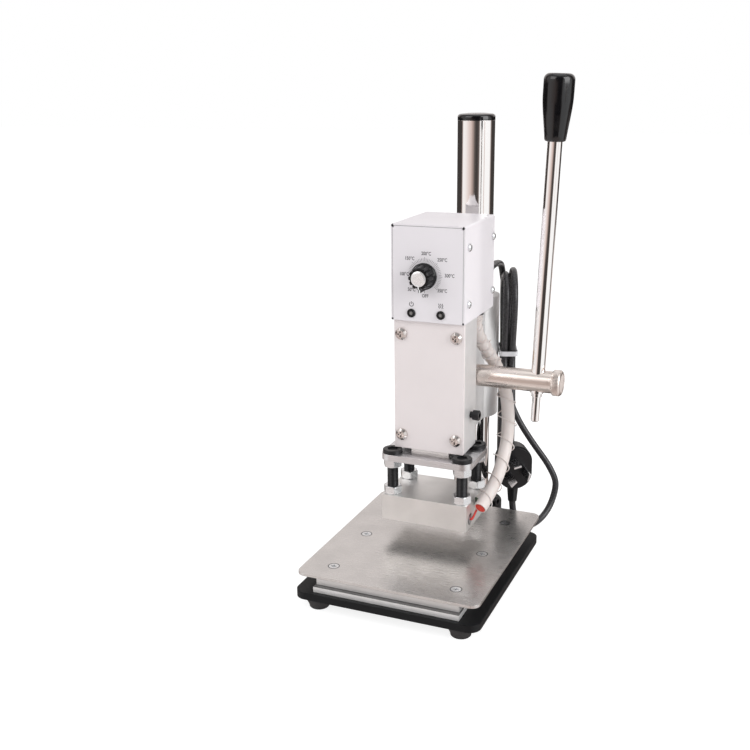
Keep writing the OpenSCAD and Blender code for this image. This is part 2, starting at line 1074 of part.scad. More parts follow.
module pinion_bushes() {
    wide = neck_w / 2 - bush_in;
    color(c_brass)
        for (x = [-neck_w / 2, bush_in])
            translate([x, pinion_y, pinion_z])
                to_right()
                    difference() {
                        cylinder(r = bush_bore_r - fit, h = wide);
                        translate([0, 0, -cut])
                            cylinder(r = shaft_r + fit, h = wide + 2 * cut);
                    }
}

module clamp_screws() {
    color(c_black)
        at_clamp_screws()
            cap_screw(clamp_head_r, clamp_head_l, m6, ear_w);
}

module spring_anchor() {
    color(c_steel)
        translate([-anchor_half, ram_mid_y - anchor_d / 2, head_top - anchor_t])
            cube([2 * anchor_half, anchor_d, anchor_t]);
}

// One unbroken wire, straight where it leaves the plug and the anchor
module return_spring() {
    steps = spring_loops * loop_rings;
    low = spring_low + 2 * spring_wire;
    high = spring_high - 2 * spring_wire;
    coil = [
        for (i = [0 : steps])
            let (a = 360 * i / loop_rings)
            [spring_r * cos(a), ram_mid_y + spring_r * sin(a), mix(low, high, i / steps)]
    ];
    path = concat(
        [[spring_r, ram_mid_y, spring_low], [spring_r, ram_mid_y, spring_low + spring_wire]],
        coil,
        [[spring_r, ram_mid_y, spring_high - spring_wire], [spring_r, ram_mid_y, spring_high]]
    );
    echo(spring_gap = (high - low) / spring_loops - spring_wire);
    color(c_steel)
        tube(path, spring_wire / 2, hank_sides);
}

// Control box

module box_chassis() {
    tall = chassis_top - box_low;
    color(c_white)
        difference() {
            union() {
                for (y = [box_front, box_back - sheet_t])
                    translate([-chassis_half, y, box_low])
                        cube([2 * chassis_half, sheet_t, tall]);
                translate([-chassis_half, box_front, box_low])
                    cube([2 * chassis_half, box_d, sheet_t]);
                for (x = [-chassis_half, chassis_half - sheet_t], y = [box_front, box_back - flange_w])
                    translate([x, y, box_low])
                        cube([sheet_t, flange_w, tall]);
            }
            for (side = [-1, 1])
                translate([side * chassis_half - notch, box_front - cut, chassis_top - notch])
                    cube([2 * notch, sheet_t + cut + fit, 2 * notch]);
            at_dial()
                bore(2 * thermo_bush_r, sheet_t + cut);
            at_lamps()
                bore(2 * lamp_body_r, sheet_t + cut);
            at_gland()
                bore(2 * gland_hole_r, sheet_t + cut);
            at_box_mounts()
                bore(m4, sheet_t + cut);
            at_box_screws()
                bore(m3, 2 * sheet_t + seam + cut);
            translate([grommet_x, grommet_y, box_low])
                bore(2 * grommet_neck_r, cut);
            translate([grommet_x, grommet_y, box_low + sheet_t])
                bore(2 * grommet_neck_r, sheet_t + cut);
        }
}

// Top and two sides, bent from one sheet
module box_cover() {
    half = box_w / 2;
    color(c_white)
        difference() {
            drawn_along_y(box_front, box_d)
                difference() {
                    union() {
                        translate([-half, box_low])
                            square([box_w, box_h - bend_r]);
                        translate([-half + bend_r, box_low])
                            square([box_w - 2 * bend_r, box_h]);
                        for (side = [-1, 1])
                            translate([side * (half - bend_r), box_top - bend_r])
                                circle(bend_r);
                    }
                    translate([-half + sheet_t, box_low - cut])
                        square([box_w - 2 * sheet_t, box_h - sheet_t + cut]);
                }
            at_box_screws()
                bore(m3, sheet_t + cut);
        }
}

module box_screws() {
    color(c_white)
        at_box_screws()
            pan_screw(box_head_d, m3, 6);
}

module box_mount_screws() {
    color(c_zinc)
        at_box_mounts()
            pan_screw(7, m4, sheet_t + mount_l);
}

module thermostat_body() {
    color(c_black)
        at_dial()
            difference() {
                union() {
                    translate([0, 0, -sheet_t - thermo_l])
                        cylinder(r = thermo_r, h = thermo_l);
                    translate([0, 0, -sheet_t - cut])
                        cylinder(r = thermo_bush_r, h = sheet_t + cut + knob_gap / 2);
                }
                translate([0, 0, -spindle_back - 0.5])
                    cylinder(r = spindle_r + fit, h = spindle_back + 2 * cut);
            }
}

module lamp_bezels() {
    color(c_black)
        at_lamps()
            difference() {
                union() {
                    cylinder(r = lamp_bezel_r, h = 0.8);
                    translate([0, 0, 0.8])
                        cylinder(r1 = lamp_bezel_r, r2 = lamp_bezel_r - 0.7, h = 0.7);
                    translate([0, 0, -lamp_l])
                        cylinder(r = lamp_body_r, h = lamp_l + 0.5);
                }
                translate([0, 0, -lamp_l / 2])
                    cylinder(r = lamp_lens_r + fit, h = lamp_l);
            }
}

module lamp_lenses() {
    color(c_steel)
        at_lamps() {
            translate([0, 0, -lamp_l / 2])
                cylinder(r = lamp_lens_r, h = lamp_l / 2 + 0.7);
            translate([0, 0, 0.7])
                cylinder(r1 = lamp_lens_r, r2 = lamp_lens_r * 0.6, h = 0.5);
        }
}

module control_board() {
    color(c_board)
        difference() {
            translate([board_x[0], board_y[0], board_z])
                cube([board_x[1] - board_x[0], board_y[1] - board_y[0], board_t]);
            at_spacers()
                translate([0, 0, board_z])
                    bore(m3, board_z);
        }
}

module board_spacers() {
    color(c_white)
        at_spacers() {
            cylinder(r = spacer_r, h = board_z - box_low - sheet_t);
            cylinder(d = m3, h = board_z - box_low - sheet_t + board_t + 1);
        }
}

// Transformer, relay and terminal strip on the board
module board_parts() {
    top = board_z + board_t;
    mid = (board_y[0] + board_y[1]) / 2;
    color(c_black) {
        translate([board_x[0] + 2, mid - 9, top])
            cube([15, 18, 16]);
        translate([board_x[1] - 15, mid - 3, top])
            cube([12, 14, 13]);
        translate([board_x[1] - 13, mid - 14, top])
            cube([10, 8, 9]);
    }
}

// Thermostat dial

module dial_knob() {
    rim = knob_d / 2;
    body = rim - 0.9;
    color(c_black)
        at_dial()
            translate([0, 0, knob_gap])
                difference() {
                    union() {
                        cylinder(r = rim - 0.4, h = 0.5);
                        translate([0, 0, 0.5])
                            cylinder(r = rim, h = 1.5);
                        translate([0, 0, 2])
                            cylinder(r1 = rim, r2 = body, h = 0.6);
                        cylinder(r1 = body + 0.2, r2 = body - 1.8, h = knob_l - 0.8);
                        translate([0, 0, knob_l - 0.8])
                            cylinder(r1 = body - 1.8, r2 = body - 2.6, h = 0.8);
                        translate([-1, -rim - 0.8, 0.5])
                            cube([2, 3, knob_l - 3]);
                    }
                    for (i = [0 : knob_flutes - 1])
                        rotate(360 * (i + 0.5) / knob_flutes)
                            translate([rim + 0.3, 0, 3])
                                cylinder(r1 = 1.5, r2 = 2.4, h = knob_l);
                    translate([0, 0, knob_l - 1.2])
                        cylinder(r = knob_cap_r + fit, h = knob_l);
                    translate([0, 0, -cut])
                        cylinder(r = spindle_r + fit / 2, h = knob_l - 2.5 + cut);
                }
}

module knob_cap() {
    color(c_chrome)
        at_dial()
            translate([0, 0, knob_gap + knob_l - 1.2]) {
                cylinder(r = knob_cap_r, h = 1.4);
                translate([0, 0, 1.4])
                    cylinder(r1 = knob_cap_r, r2 = knob_cap_r - 1, h = 0.5);
            }
}

module knob_shaft() {
    color(c_steel)
        at_dial()
            translate([0, 0, -spindle_back])
                cylinder(r = spindle_r, h = spindle_back + knob_gap + knob_l - 2.5);
}

// Ram, hanger and heating block

function rack_tooth(i) = let (
    z = pinion_z + (i + 0.5) * tooth_pitch,
    half = tooth_pitch / 4 - backlash,
    low = half + (pitch_y - rack_root_y) * tan(pressure),
    high = half - (rack_tip_y - pitch_y) * tan(pressure)
) [[rack_root_y, z - low], [rack_tip_y, z - high], [rack_tip_y, z + high], [rack_root_y, z + low]];

module ram() {
    first = pinion_z + rack_first * tooth_pitch;
    last = pinion_z + (rack_last + 1) * tooth_pitch;
    outline = concat(
        [[ram_back - cut, first], [rack_root_y, first]],
        [for (i = [rack_first : rack_last]) each rack_tooth(i)],
        [[rack_root_y, last], [ram_back - cut, last]]
    );
    color(c_steel)
        difference() {
            union() {
                translate([-ram_w / 2, ram_front, ram_low])
                    cube([ram_w, ram_d, ram_top - ram_low]);
                drawn_along_x(rack_w)
                    polygon(outline);
            }
            translate([0, ram_mid_y, spring_low - spring_plug_t])
                cylinder(r = spring_bore_r, h = ram_top);
            at_ram_screws()
                bore(m5, ram_screw_l + 0.5);
        }
}

module spring_plug() {
    color(c_steel)
        translate([0, ram_mid_y, spring_low - spring_plug_t])
            cylinder(r = spring_bore_r - fit, h = spring_plug_t);
}

module ram_screws() {
    color(c_zinc)
        at_ram_screws()
            sunk_screw(m5, ram_screw_l);
}

module hanger_plate() {
    color(c_steel)
        difference() {
            translate([0, hanger_y, hanger_low])
                rounded_plate(hanger_w, hanger_d, hanger_t, hanger_corner_r);
            at_hanger_bolts()
                translate([0, 0, hanger_top])
                    bore(m8, hanger_t + cut);
            at_ram_screws()
                sunk_hole(m5, hanger_t + cut);
        }
}

module hanger_bolts() {
    color(c_black)
        at_hanger_bolts()
            translate([0, 0, hanger_top])
                cap_screw(bolt_head_r, bolt_head_h, m8, hanger_top - block_top + bolt_deep);
}

module bolt_nuts() {
    color(c_zinc)
        at_hanger_bolts()
            for (z = [block_top, hanger_low - nut_h])
                translate([0, 0, z])
                    difference() {
                        cylinder(r = nut_af / 2 / cos(30), h = nut_h, $fn = 6);
                        translate([0, 0, nut_h])
                            bore(m8, nut_h + cut);
                    }
}

module heating_block() {
    color(c_alu)
        difference() {
            translate([-block_w / 2, hanger_y - block_d / 2, block_low])
                cube([block_w, block_d, block_h]);
            at_hanger_bolts()
                translate([0, 0, block_top])
                    bore(m8, bolt_deep + 0.5);
            at_cartridges()
                bore(2 * cartridge_r, cartridge_l);
            at_probe()
                bore(2 * probe_r, probe_l);
        }
}

module heater_cartridges() {
    color(c_steel)
        at_cartridges()
            translate([0, 0, -cartridge_l]) {
                cylinder(r = cartridge_r, h = cartridge_l - 1);
                cylinder(r = cartridge_r - 1, h = cartridge_l + 0.4);
            }
}

module thermocouple() {
    color(c_brass)
        at_probe()
            translate([0, 0, -probe_l]) {
                cylinder(r = probe_r, h = probe_l);
                cylinder(r = probe_r - 0.8, h = probe_l + 0.4);
            }
}

// Cords

hose_points = [for (p = hose_route) [p[0], p[1], mix(hose_low, hose_top, p[2])]];
hose_path = concat([hose_points[0]], rounded([for (i = [1 : len(hose_points) - 1]) hose_points[i]]));

module hose_grommet() {
    color(c_black)
        translate([grommet_x, grommet_y, hose_top]) {
            cylinder(r = grommet_r, h = grommet_drop);
            cylinder(r = grommet_neck_r, h = grommet_drop + sheet_t + 1.5);
        }
}

module heater_hose() {
    color(c_white)
        tube(hose_path, hose_d / 2, hose_sides);
}

// Each wire leaves the lead's end along its run and turns square into the block
module heater_leads() {
    end = hose_points[len(hose_points) - 1];
    way = unit(end - hose_path[len(hose_path) - 2]);
    across = side_of(way);
    origin = [wire_face, hanger_y, block_low];
    color(c_red)
        for (w = wire_routes) {
            from = end + wire_off * (cos(w[0]) * across + sin(w[0]) * cross(way, across));
            tube(concat([from, from + 3 * way], [for (p = w[1]) p + origin]), wire_r, wire_sides);
        }
}

module cord_gland() {
    long = column_reach + gland_end - box_back;
    color(c_black)
        at_gland() {
            cylinder(r = gland_flange_r, h = gland_flange_t);
            translate([0, 0, -sheet_t - gland_nut_t])
                cylinder(r = gland_hole_r, h = sheet_t + gland_nut_t + cut);
            translate([0, 0, -sheet_t - gland_nut_t])
                cylinder(r = gland_flange_r, h = gland_nut_t, $fn = 6);
            translate([0, 0, gland_flange_t])
                cylinder(r1 = gland_low_r, r2 = gland_end_r, h = long - gland_flange_t);
        }
}

// The hank hangs in a plane beside the sleeve. Place in that plane: out from the column, back, up.
function hank_place(out, back, up) =
    [0, column_reach, up]
    + out * [cos(hank_turn), sin(hank_turn), 0]
    + back * [-sin(hank_turn), cos(hank_turn), 0];
function hank_reach(a, z) =
    mix(waist_least + (a - fold_r) * waist_step / loop_step, a, smooth(abs(z - waist_z) / waist_reach));

// One point of the winding: it spirals in on the near layer, climbs along a run, and spirals out
function hank_at(t) = let (
    q = 4 * (t - floor(t)),
    a = fold_r + loop_step * max(turn_back - t, t - turn_back - climb, 0),
    out = hank_near + layer_step * smooth((t - turn_back) / climb),
    run = hank_high - hank_low,
    down = hank_high - run * q,
    up = hank_low + run * (q - 2),
    fold = 180 * (q - floor(q))
)
    q < 1 ? hank_place(out, hank_reach(a, down), down) :
    q < 2 ? hank_place(out, a * cos(fold), hank_low - a * sin(fold)) :
    q < 3 ? hank_place(out, -hank_reach(a, up), up) :
    hank_place(out, -a * cos(fold), hank_high + a * sin(fold));

hank_wind = [for (i = [0 : floor(hank_turns * loop_rings)]) hank_at(i / loop_rings)];
hank_last = len(hank_wind) - 1;
hank_start = hank_wind[0] + [0, 0, cord_d];
hank_way = unit(hank_wind[hank_last] - hank_wind[hank_last - 1]);
hank_end = hank_wind[hank_last] + cord_d * hank_way;

// Least free distance between two strands of the hank, on finer points than the solid's
fine = 72;
hank_fine = [for (i = [0 : floor(hank_turns * fine)]) hank_at(i / fine)];
hank_gap = min([
    for (i = [0 : len(hank_fine) - 1], j = [i + floor(0.4 * fine) : len(hank_fine) - 1])
        norm(hank_fine[i] - hank_fine[j])
]) - cord_d;

module mains_cord_lead() {
    points = [for (p = lead_route) p + [0, column_reach, 0]];
    color(c_black)
        tube(concat(rounded(concat(points, [hank_start + [0, 0, cord_d]])), [hank_start]), cord_r, cord_sides);
}

module mains_cord_hank() {
    echo(hank_gap = hank_gap);
    color(c_black)
        tube(concat([hank_start], hank_wind, [hank_end]), cord_r, hank_sides);
}

// A flat band round the hank's waist
module cord_tie() {
    low = waist_least + 0.93 * waist_step + cord_r;
    high = waist_least + 1.43 * waist_step + cord_r;
    wide = low + high + 2 * tie_play;
    deep = layer_step + cord_d + 2 * tie_play;
    place = hank_place(hank_near + layer_step / 2, (high - low) / 2, waist_z - tie_h / 2);
    color(c_steel)
        translate(place)
            rotate(hank_turn)
                difference() {
                    rounded_plate(deep + 2 * tie_t, wide + 2 * tie_t, tie_h, tie_corner_r);
                    translate([0, 0, -cut])
                        rounded_plate(deep, wide, tie_h + 2 * cut, tie_corner_r - tie_t);
                }
}

module mains_cord_tail() {
    points = [for (p = concat(tail_route, tail_turn)) p + [0, column_reach, 0]];
    foot = [plug_at[0], column_reach + plug_at[1], plug_low];
    color(c_black)
        tube(
            concat([hank_end], rounded(concat([hank_end + cord_d * hank_way], points)), [foot]),
            cord_r, cord_sides
        );
}

// One blade of the plug, or the pocket it stands in
module plug_blade(blade, l) {
    translate([plug_t / 2 + plug_step - blade_deep, 0, plug_mid])
        rotate([blade_spin, 0, 0])
            translate([0, blade[0], blade[1]])
                rotate([blade[2], 0, 0])
                    translate([0, -blade_t / 2, -blade_w / 2])
                        cube([blade_deep + l, blade_t, blade_w]);
}

// Angled plug: the cord comes in from below, the blades stand out of its upright face
module mains_plug() {
    color(c_black)
        at_plug()
            difference() {
                union() {
                    cylinder(r1 = cord_r + 0.9, r2 = cord_r + 2.2, h = plug_relief + 3);
                    translate([-plug_t / 2, 0, plug_mid])
                        to_right()
                            rounded_plate(plug_h, plug_w, plug_t, plug_corner_r);
                    translate([-plug_t / 2 - plug_step, 0, plug_mid])
                        to_right()
                            rounded_plate(
                                plug_h - 2 * plug_step, plug_w - 2 * plug_step,
                                plug_t + 2 * plug_step, plug_corner_r - plug_step
                            );
                }
                for (blade = blades)
                    plug_blade(blade, cut);
            }
}

module plug_blades() {
    color(c_zinc)
        at_plug()
            for (blade = blades)
                plug_blade(blade, blade[3]);
}

// Lever and pinion

// Half the angle of a pinion tooth at a radius, with involute flanks above the base circle
function roll(r) = let (a = acos(min(1, base_circle_r / r))) tan(a) * 180 / PI - a;
function tooth_half(r) =
    90 / pinion_teeth - backlash / pitch_r * 180 / PI + roll(pitch_r) - roll(max(r, base_circle_r));
tooth_radii = concat([root_r], [for (i = [0 : flank_steps]) mix(base_circle_r, tip_r, i / flank_steps)]);
function pinion_tooth(c) = concat(
    [for (r = tooth_radii) polar(r, c - tooth_half(r))],
    [for (i = [len(tooth_radii) - 1 : -1 : 0]) polar(tooth_radii[i], c + tooth_half(tooth_radii[i]))]
);

module pinion_shaft() {
    color(c_nickel)
        difference() {
            union() {
                translate([shaft_left, pinion_y, pinion_z])
                    to_right()
                        cylinder(r = shaft_r, h = shaft_right - shaft_left);
                drawn_along_x(pinion_w)
                    translate([pinion_y, pinion_z])
                        polygon([
                            for (i = [0 : pinion_teeth - 1])
                                each pinion_tooth(180 + 360 * i / pinion_teeth)
                        ]);
            }
            at_lever()
                translate([0, 0, -2 * shaft_r])
                    cylinder(r = lever_r + fit, h = 4 * shaft_r);
            at_shaft_end()
                bore(m8, shaft_right - lever_x);
        }
}

module lever_rod() {
    shaft_low = -shaft_r - 0.6;
    color(c_chrome)
        at_lever() {
            translate([0, 0, shaft_low])
                cylinder(r = lever_r, h = grip_low - shaft_low);
            translate([0, 0, grip_low])
                cylinder(r = lever_stub_r, h = lever_stub_l);
            translate([0, 0, shaft_low - lever_shoulder_l])
                cylinder(r = lever_shoulder_r, h = lever_shoulder_l);
            translate([0, 0, -lever_down + 0.8])
                cylinder(r = lever_tail_r, h = lever_down + shaft_low - lever_shoulder_l - 0.8);
            translate([0, 0, -lever_down])
                cylinder(r1 = lever_tail_r - 0.8, r2 = lever_tail_r, h = 0.8);
        }
}

// Grip: widest over its upper half, drawn in smoothly to its foot, flat on top with a soft edge
module lever_grip() {
    steps = 10;
    edge = 1.6;
    edge_steps = 4;
    side = [
        for (i = [0 : steps])
            let (f = i / steps)
            [mix(grip_low_d, grip_d, smooth(0.15 + 1.1 * f)) / 2, grip_low + f * (grip_l - edge)]
    ];
    top = [
        for (i = [1 : edge_steps])
            let (a = 90 * i / edge_steps)
            [grip_d / 2 - edge + edge * cos(a), lever_up - edge + edge * sin(a)]
    ];
    profile = concat([[0, grip_low]], [[side[0][0] - 0.6, grip_low]], [for (i = [1 : steps]) side[i]], top, [[0, lever_up]]);
    color(c_black)
        at_lever()
            difference() {
                rotate_extrude()
                    polygon(profile);
                translate([0, 0, grip_low - cut])
                    cylinder(r = lever_stub_r + fit, h = lever_stub_l + cut + fit);
            }
}

// Screw in the shaft's end that locks the lever rod
module lever_lock_screw() {
    reach = shaft_right - lever_x - lever_r - 0.6;
    color(c_nickel)
        at_shaft_end()
            difference() {
                union() {
                    cylinder(d1 = lock_d - 2 * lock_edge, d2 = lock_d, h = lock_edge);
                    translate([0, 0, lock_edge])
                        cylinder(d = lock_d, h = lock_l - 2 * lock_edge);
                    translate([0, 0, lock_l - lock_edge])
                        cylinder(d1 = lock_d, d2 = lock_d - 2 * lock_edge, h = lock_edge);
                    translate([0, 0, -reach])
                        cylinder(d = m8, h = reach + lock_edge);
                }
                translate([0, 0, lock_l / 2])
                    cylinder(r = 3.5, h = lock_l, $fn = 6);
            }
}

base_plate();
rubber_feet();
foot_screws();
slide_rail();
rail_screws();
column_socket();
socket_bolts();
socket_clamp_screw();
socket_washer();
column();
column_cap();
table_plate();
table_carriage();
table_screws();
head_body();
front_cover();
cover_screws();
guide_liners();
gib_screw();
pinion_bushes();
clamp_screws();
spring_anchor();
return_spring();
box_chassis();
box_cover();
box_screws();
box_mount_screws();
thermostat_body();
lamp_bezels();
lamp_lenses();
control_board();
board_spacers();
board_parts();
hose_grommet();
heater_hose();
cord_gland();
mains_cord_lead();
mains_cord_hank();
cord_tie();
mains_cord_tail();
mains_plug();
plug_blades();
ram();
spring_plug();
ram_screws();
hanger_plate();
hanger_bolts();
bolt_nuts();
heating_block();
heater_cartridges();
thermocouple();
heater_leads();
pinion_shaft();
lever_rod();
lever_grip();
lever_lock_screw();
dial_knob();
knob_cap();
knob_shaft();
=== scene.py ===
# %% [markdown]
# # A hot foil stamping press, dressed for its picture
# The solids come ready made from the construction model and stay where they are. This script gives each of
# them its finish, winds the cords at their real length, adds the small shapes that a construction model
# leaves plain, and sets up a pale studio round the machine. Lengths are millimetres until Blender gets them.

# %% Load the fixed frame
import json
import math

import bpy
import numpy as np
from mathutils import Matrix, Vector

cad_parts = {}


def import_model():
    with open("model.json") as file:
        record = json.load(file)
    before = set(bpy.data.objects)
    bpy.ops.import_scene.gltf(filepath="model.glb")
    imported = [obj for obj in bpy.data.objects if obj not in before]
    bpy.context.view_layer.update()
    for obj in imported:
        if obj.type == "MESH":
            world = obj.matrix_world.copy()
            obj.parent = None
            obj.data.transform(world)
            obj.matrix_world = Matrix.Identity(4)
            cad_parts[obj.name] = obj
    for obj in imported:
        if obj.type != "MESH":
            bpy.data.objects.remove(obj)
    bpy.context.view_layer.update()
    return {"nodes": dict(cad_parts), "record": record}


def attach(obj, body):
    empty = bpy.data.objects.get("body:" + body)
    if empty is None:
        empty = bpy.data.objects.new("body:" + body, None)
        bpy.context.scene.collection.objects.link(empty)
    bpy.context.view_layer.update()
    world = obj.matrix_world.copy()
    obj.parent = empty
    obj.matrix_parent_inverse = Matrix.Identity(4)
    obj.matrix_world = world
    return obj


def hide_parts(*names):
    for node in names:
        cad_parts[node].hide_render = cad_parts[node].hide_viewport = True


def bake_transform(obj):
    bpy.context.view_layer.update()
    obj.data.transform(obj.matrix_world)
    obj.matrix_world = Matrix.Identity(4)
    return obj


MM = 0.001
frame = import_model()
nodes = frame["nodes"]
scene = bpy.context.scene

# %% [markdown]
# ## Camera
# The machine is seen from the front right and a little above. The angles, the distance and the lens come
# from a fit of the model's corners to their places in the picture, so the camera is set by its three axes
# instead of being aimed by hand.

# %% Camera
CAMERA_PLACE = Vector((264.22, -698.46, 355.18)) * MM
AZIMUTH, ELEVATION, ROLL = (math.radians(a) for a in (23.627, 16.284, -0.735))
LENS = 49.56
CLIP_NEAR, CLIP_FAR = 0.05, 30
LOOKED_AT = Vector((0, 0.05, 0.14))

slope = math.cos(ELEVATION)
back = Vector((math.sin(AZIMUTH) * slope, -math.cos(AZIMUTH) * slope, math.sin(ELEVATION)))
level = Vector((math.cos(AZIMUTH), math.sin(AZIMUTH), 0))
rise = back.cross(level)
right = level * math.cos(ROLL) + rise * math.sin(ROLL)
up = rise * math.cos(ROLL) - level * math.sin(ROLL)
axes = Matrix((right, up, back)).transposed().to_4x4()
camera = bpy.data.objects.new("photo_camera", bpy.data.cameras.new("photo_camera"))
camera.matrix_world = Matrix.Translation(CAMERA_PLACE) @ axes
camera.data.lens = LENS
camera.data.clip_start, camera.data.clip_end = CLIP_NEAR, CLIP_FAR
scene.collection.objects.link(camera)
scene.camera = camera
scene.view_settings.view_transform = "Standard"
print("camera stands", round((CAMERA_PLACE - LOOKED_AT).length, 3), "m away")

# %% [markdown]
# ## Shader sums in plain Python
# A finish is a small network of nodes. Drawing such networks link by link hides what they work out, so a
# socket is wrapped in a class on which `+`, `-`, `*` and `/` add the Math node themselves.

# %% Signals
def sums(operation):
    """The two methods that let a signal stand before or after the sign of a sum."""

    def before(self, other):
        return self.sum_node(operation, self, other)

    def after(self, other):
        return self.sum_node(operation, other, self)

    return before, after


class Signal:
    """A socket's value, which can be used in sums."""

    __add__, __radd__ = sums("ADD")
    __sub__, __rsub__ = sums("SUBTRACT")
    __mul__, __rmul__ = sums("MULTIPLY")
    __truediv__, __rtruediv__ = sums("DIVIDE")

    def __init__(self, finish, socket):
        self.finish, self.socket = finish, socket

    def sum_node(self, operation, first, second):
        return self.finish.node("Math", {0: first, 1: second}, operation=operation)


print("signals ready")

# %% [markdown]
# ## Nodes of a finish
# Every other node comes from one method: its type, what goes into its sockets, and its settings. The
# methods after it are the nodes that most finishes need.

# %% Nodes
class Finish:
    """A node tree in the making."""

    def __init__(self, owner):
        owner.use_nodes = True
        self.tree = owner.node_tree
        self.tree.nodes.clear()

    def node(self, kind, sockets=None, output=0, **settings):
        made = self.tree.nodes.new("ShaderNode" + kind)
        for name, value in settings.items():
            if name == "stops":
                ramp = made.color_ramp.elements
                while len(ramp) < len(value):
                    ramp.new(1)
                for stop, (place, colour) in zip(ramp, value):
                    stop.position, stop.color = place, (*colour, 1)
            else:
                setattr(made, name, value)
        for name, value in (sockets or {}).items():
            if isinstance(value, Signal):
                self.tree.links.new(value.socket, made.inputs[name])
            else:
                target = made.inputs[name]
                wide = hasattr(target.default_value, "__len__")
                target.default_value = (*value, 1)[: len(target.default_value)] if wide else value
        return Signal(self, made.outputs[output]) if made.outputs else None

    def place(self):
        return self.node("TexCoord", output="Object")

    def noise(self, size_mm, detail, stretch=(1, 1, 1)):
        """Cloudy values from 0 to 1 with features of that size, drawn out where the stretch is small."""
        moved = self.node("Mapping", {"Vector": self.place(), "Scale": stretch})
        return self.node("TexNoise", {"Vector": moved, "Scale": 1 / (size_mm * MM), "Detail": detail})

    def between(self, share, low, high):
        """Maps a cloudy value's useful middle to the range from low to high."""
        sockets = {"Value": share, "From Min": 0.3, "From Max": 0.7, "To Min": low, "To Max": high}
        return self.node("MapRange", sockets)

    def step_up(self, value, low, high):
        """Goes softly from 0 at low to 1 at high."""
        sockets = {"Value": value, "From Min": low, "From Max": high}
        return self.node("MapRange", sockets, interpolation_type="SMOOTHSTEP")

    def tint(self, share, first, second):
        """A Mix node takes the share at socket 0 and colours at 6 and 7, and gives a colour at output 2."""
        return self.node("Mix", {0: share, 6: first, 7: second}, output=2, data_type="RGBA")

    def soft_edges(self, radius_mm):
        return self.node("Bevel", {"Radius": radius_mm * MM}, samples=6)

    def bump(self, height, depth_mm, normal=None):
        sockets = {"Height": height, "Distance": depth_mm * MM, "Strength": 1.0}
        if normal:
            sockets["Normal"] = normal
        return self.node("Bump", sockets)

    def surface(self, **sockets):
        named = {name.replace("_", " ").replace("Ior", "IOR"): value for name, value in sockets.items()}
        shader = self.node("BsdfPrincipled", named)
        self.node("OutputMaterial", {"Surface": shader})


print("nodes ready")

# %% [markdown]
# ## One recipe for many finishes
# Paints, rubbers and plastics differ less than they seem to. Most of them are one recipe with other
# numbers.

# %% Grained finishes
finishes = {}


def new_finish(name):
    """A finish is found later under its name, mostly that of its slot."""
    finishes[name] = bpy.data.materials.new(name + "_look")
    return Finish(finishes[name])


def grained(name, colours, cloud, grain, roughness, spread, depth_mm, edge_mm=None, clouded=1, **more):
    """The colour follows a slow noise, gloss and relief a fine one. A noise is a size and a detail."""
    f = new_finish(name)
    fine = f.noise(*grain)
    f.surface(
        Base_Color=f.tint(f.between(f.noise(*cloud), 0, clouded), *colours),
        Roughness=f.between(fine, roughness - spread, roughness + spread),
        Normal=f.bump(fine, depth_mm, edge_mm and f.soft_edges(edge_mm)),
        **more,
    )


print("recipe ready")

# %% [markdown]
# ## Routes of the cords
# The cords follow the points of the construction model, so that what is seen lies where the solids are. A
# route is a few given points. Between each two of them a four-point rule sets one more, again and
# again, which gives a smooth line through all of them.

# %% Smooth routes
COLUMN = np.array((0.0, 115.0, 0.0))
FLOOR_Z = -29.0
CORD_D = 5.6


def smooth(x):
    c = np.clip(x, 0, 1)
    return c * c * (3 - 2 * c)


def mix(a, b, share):
    return a + (b - a) * share


def rounded(points, times=3):
    p = np.array(points, float)
    for _ in range(times):
        before = np.vstack((p[:1], p[:-2]))
        after = np.vstack((p[2:], p[-1:]))
        halves = (p[:-1] + p[1:]) * 9 / 16 - (before + after) / 16
        finer = np.empty((2 * len(p) - 1, 3))
        finer[0::2], finer[1::2] = p, halves
        p = finer
    return p


def length_of(path):
    return float(np.linalg.norm(np.diff(path, axis=0), axis=1).sum())


print("a route of 4 points becomes", len(rounded(np.eye(4, 3))), "points")

# %% [markdown]
# ## Hank of the mains cord
# The cord is folded into a hank that a tie holds beside the column sleeve. It could be drawn point by
# point, but a winding has a rule: it spirals in on the layer near the sleeve, climbs to the far layer
# along one run, and spirals out again. One turn is a run down, a fold, a run up and a fold, and the runs
# draw in at the tie.

# %% Winding of the hank
HANK_TURN = math.radians(20)
HANK_NEAR, LAYER_STEP = 26.2, 6.4
HANK_HIGH, HANK_LOW, FOLD_R, LOOP_STEP = 172.0, 34.0, 16.8, 6.4
WAIST_Z, WAIST_REACH, WAIST_STEP, WAIST_LEAST = 128.0, 44.0, 7.2, 3.4
HANK_TURNS, TURN_BACK, CLIMB = 3.125, 1.5, 0.25
STEPS_A_TURN, STEPS_AT_END = 96, 4


def hank_place(out, behind, height):
    c, s = math.cos(HANK_TURN), math.sin(HANK_TURN)
    return COLUMN + (out * c - behind * s, out * s + behind * c, height)


def hank_reach(a, z):
    waist = WAIST_LEAST + (a - FOLD_R) * WAIST_STEP / LOOP_STEP
    return mix(waist, a, smooth(abs(z - WAIST_Z) / WAIST_REACH))


def hank_at(t):
    q = 4 * (t - math.floor(t))
    a = FOLD_R + LOOP_STEP * max(TURN_BACK - t, t - TURN_BACK - CLIMB, 0)
    out = HANK_NEAR + LAYER_STEP * smooth((t - TURN_BACK) / CLIMB)
    run = HANK_HIGH - HANK_LOW
    fold = math.pi * (q - math.floor(q))
    if q < 1:
        z = HANK_HIGH - run * q
        return hank_place(out, hank_reach(a, z), z)
    if q < 2:
        return hank_place(out, a * math.cos(fold), HANK_LOW - a * math.sin(fold))
    if q < 3:
        z = HANK_LOW + run * (q - 2)
        return hank_place(out, -hank_reach(a, z), z)
    return hank_place(out, -a * math.cos(fold), HANK_HIGH + a * math.sin(fold))


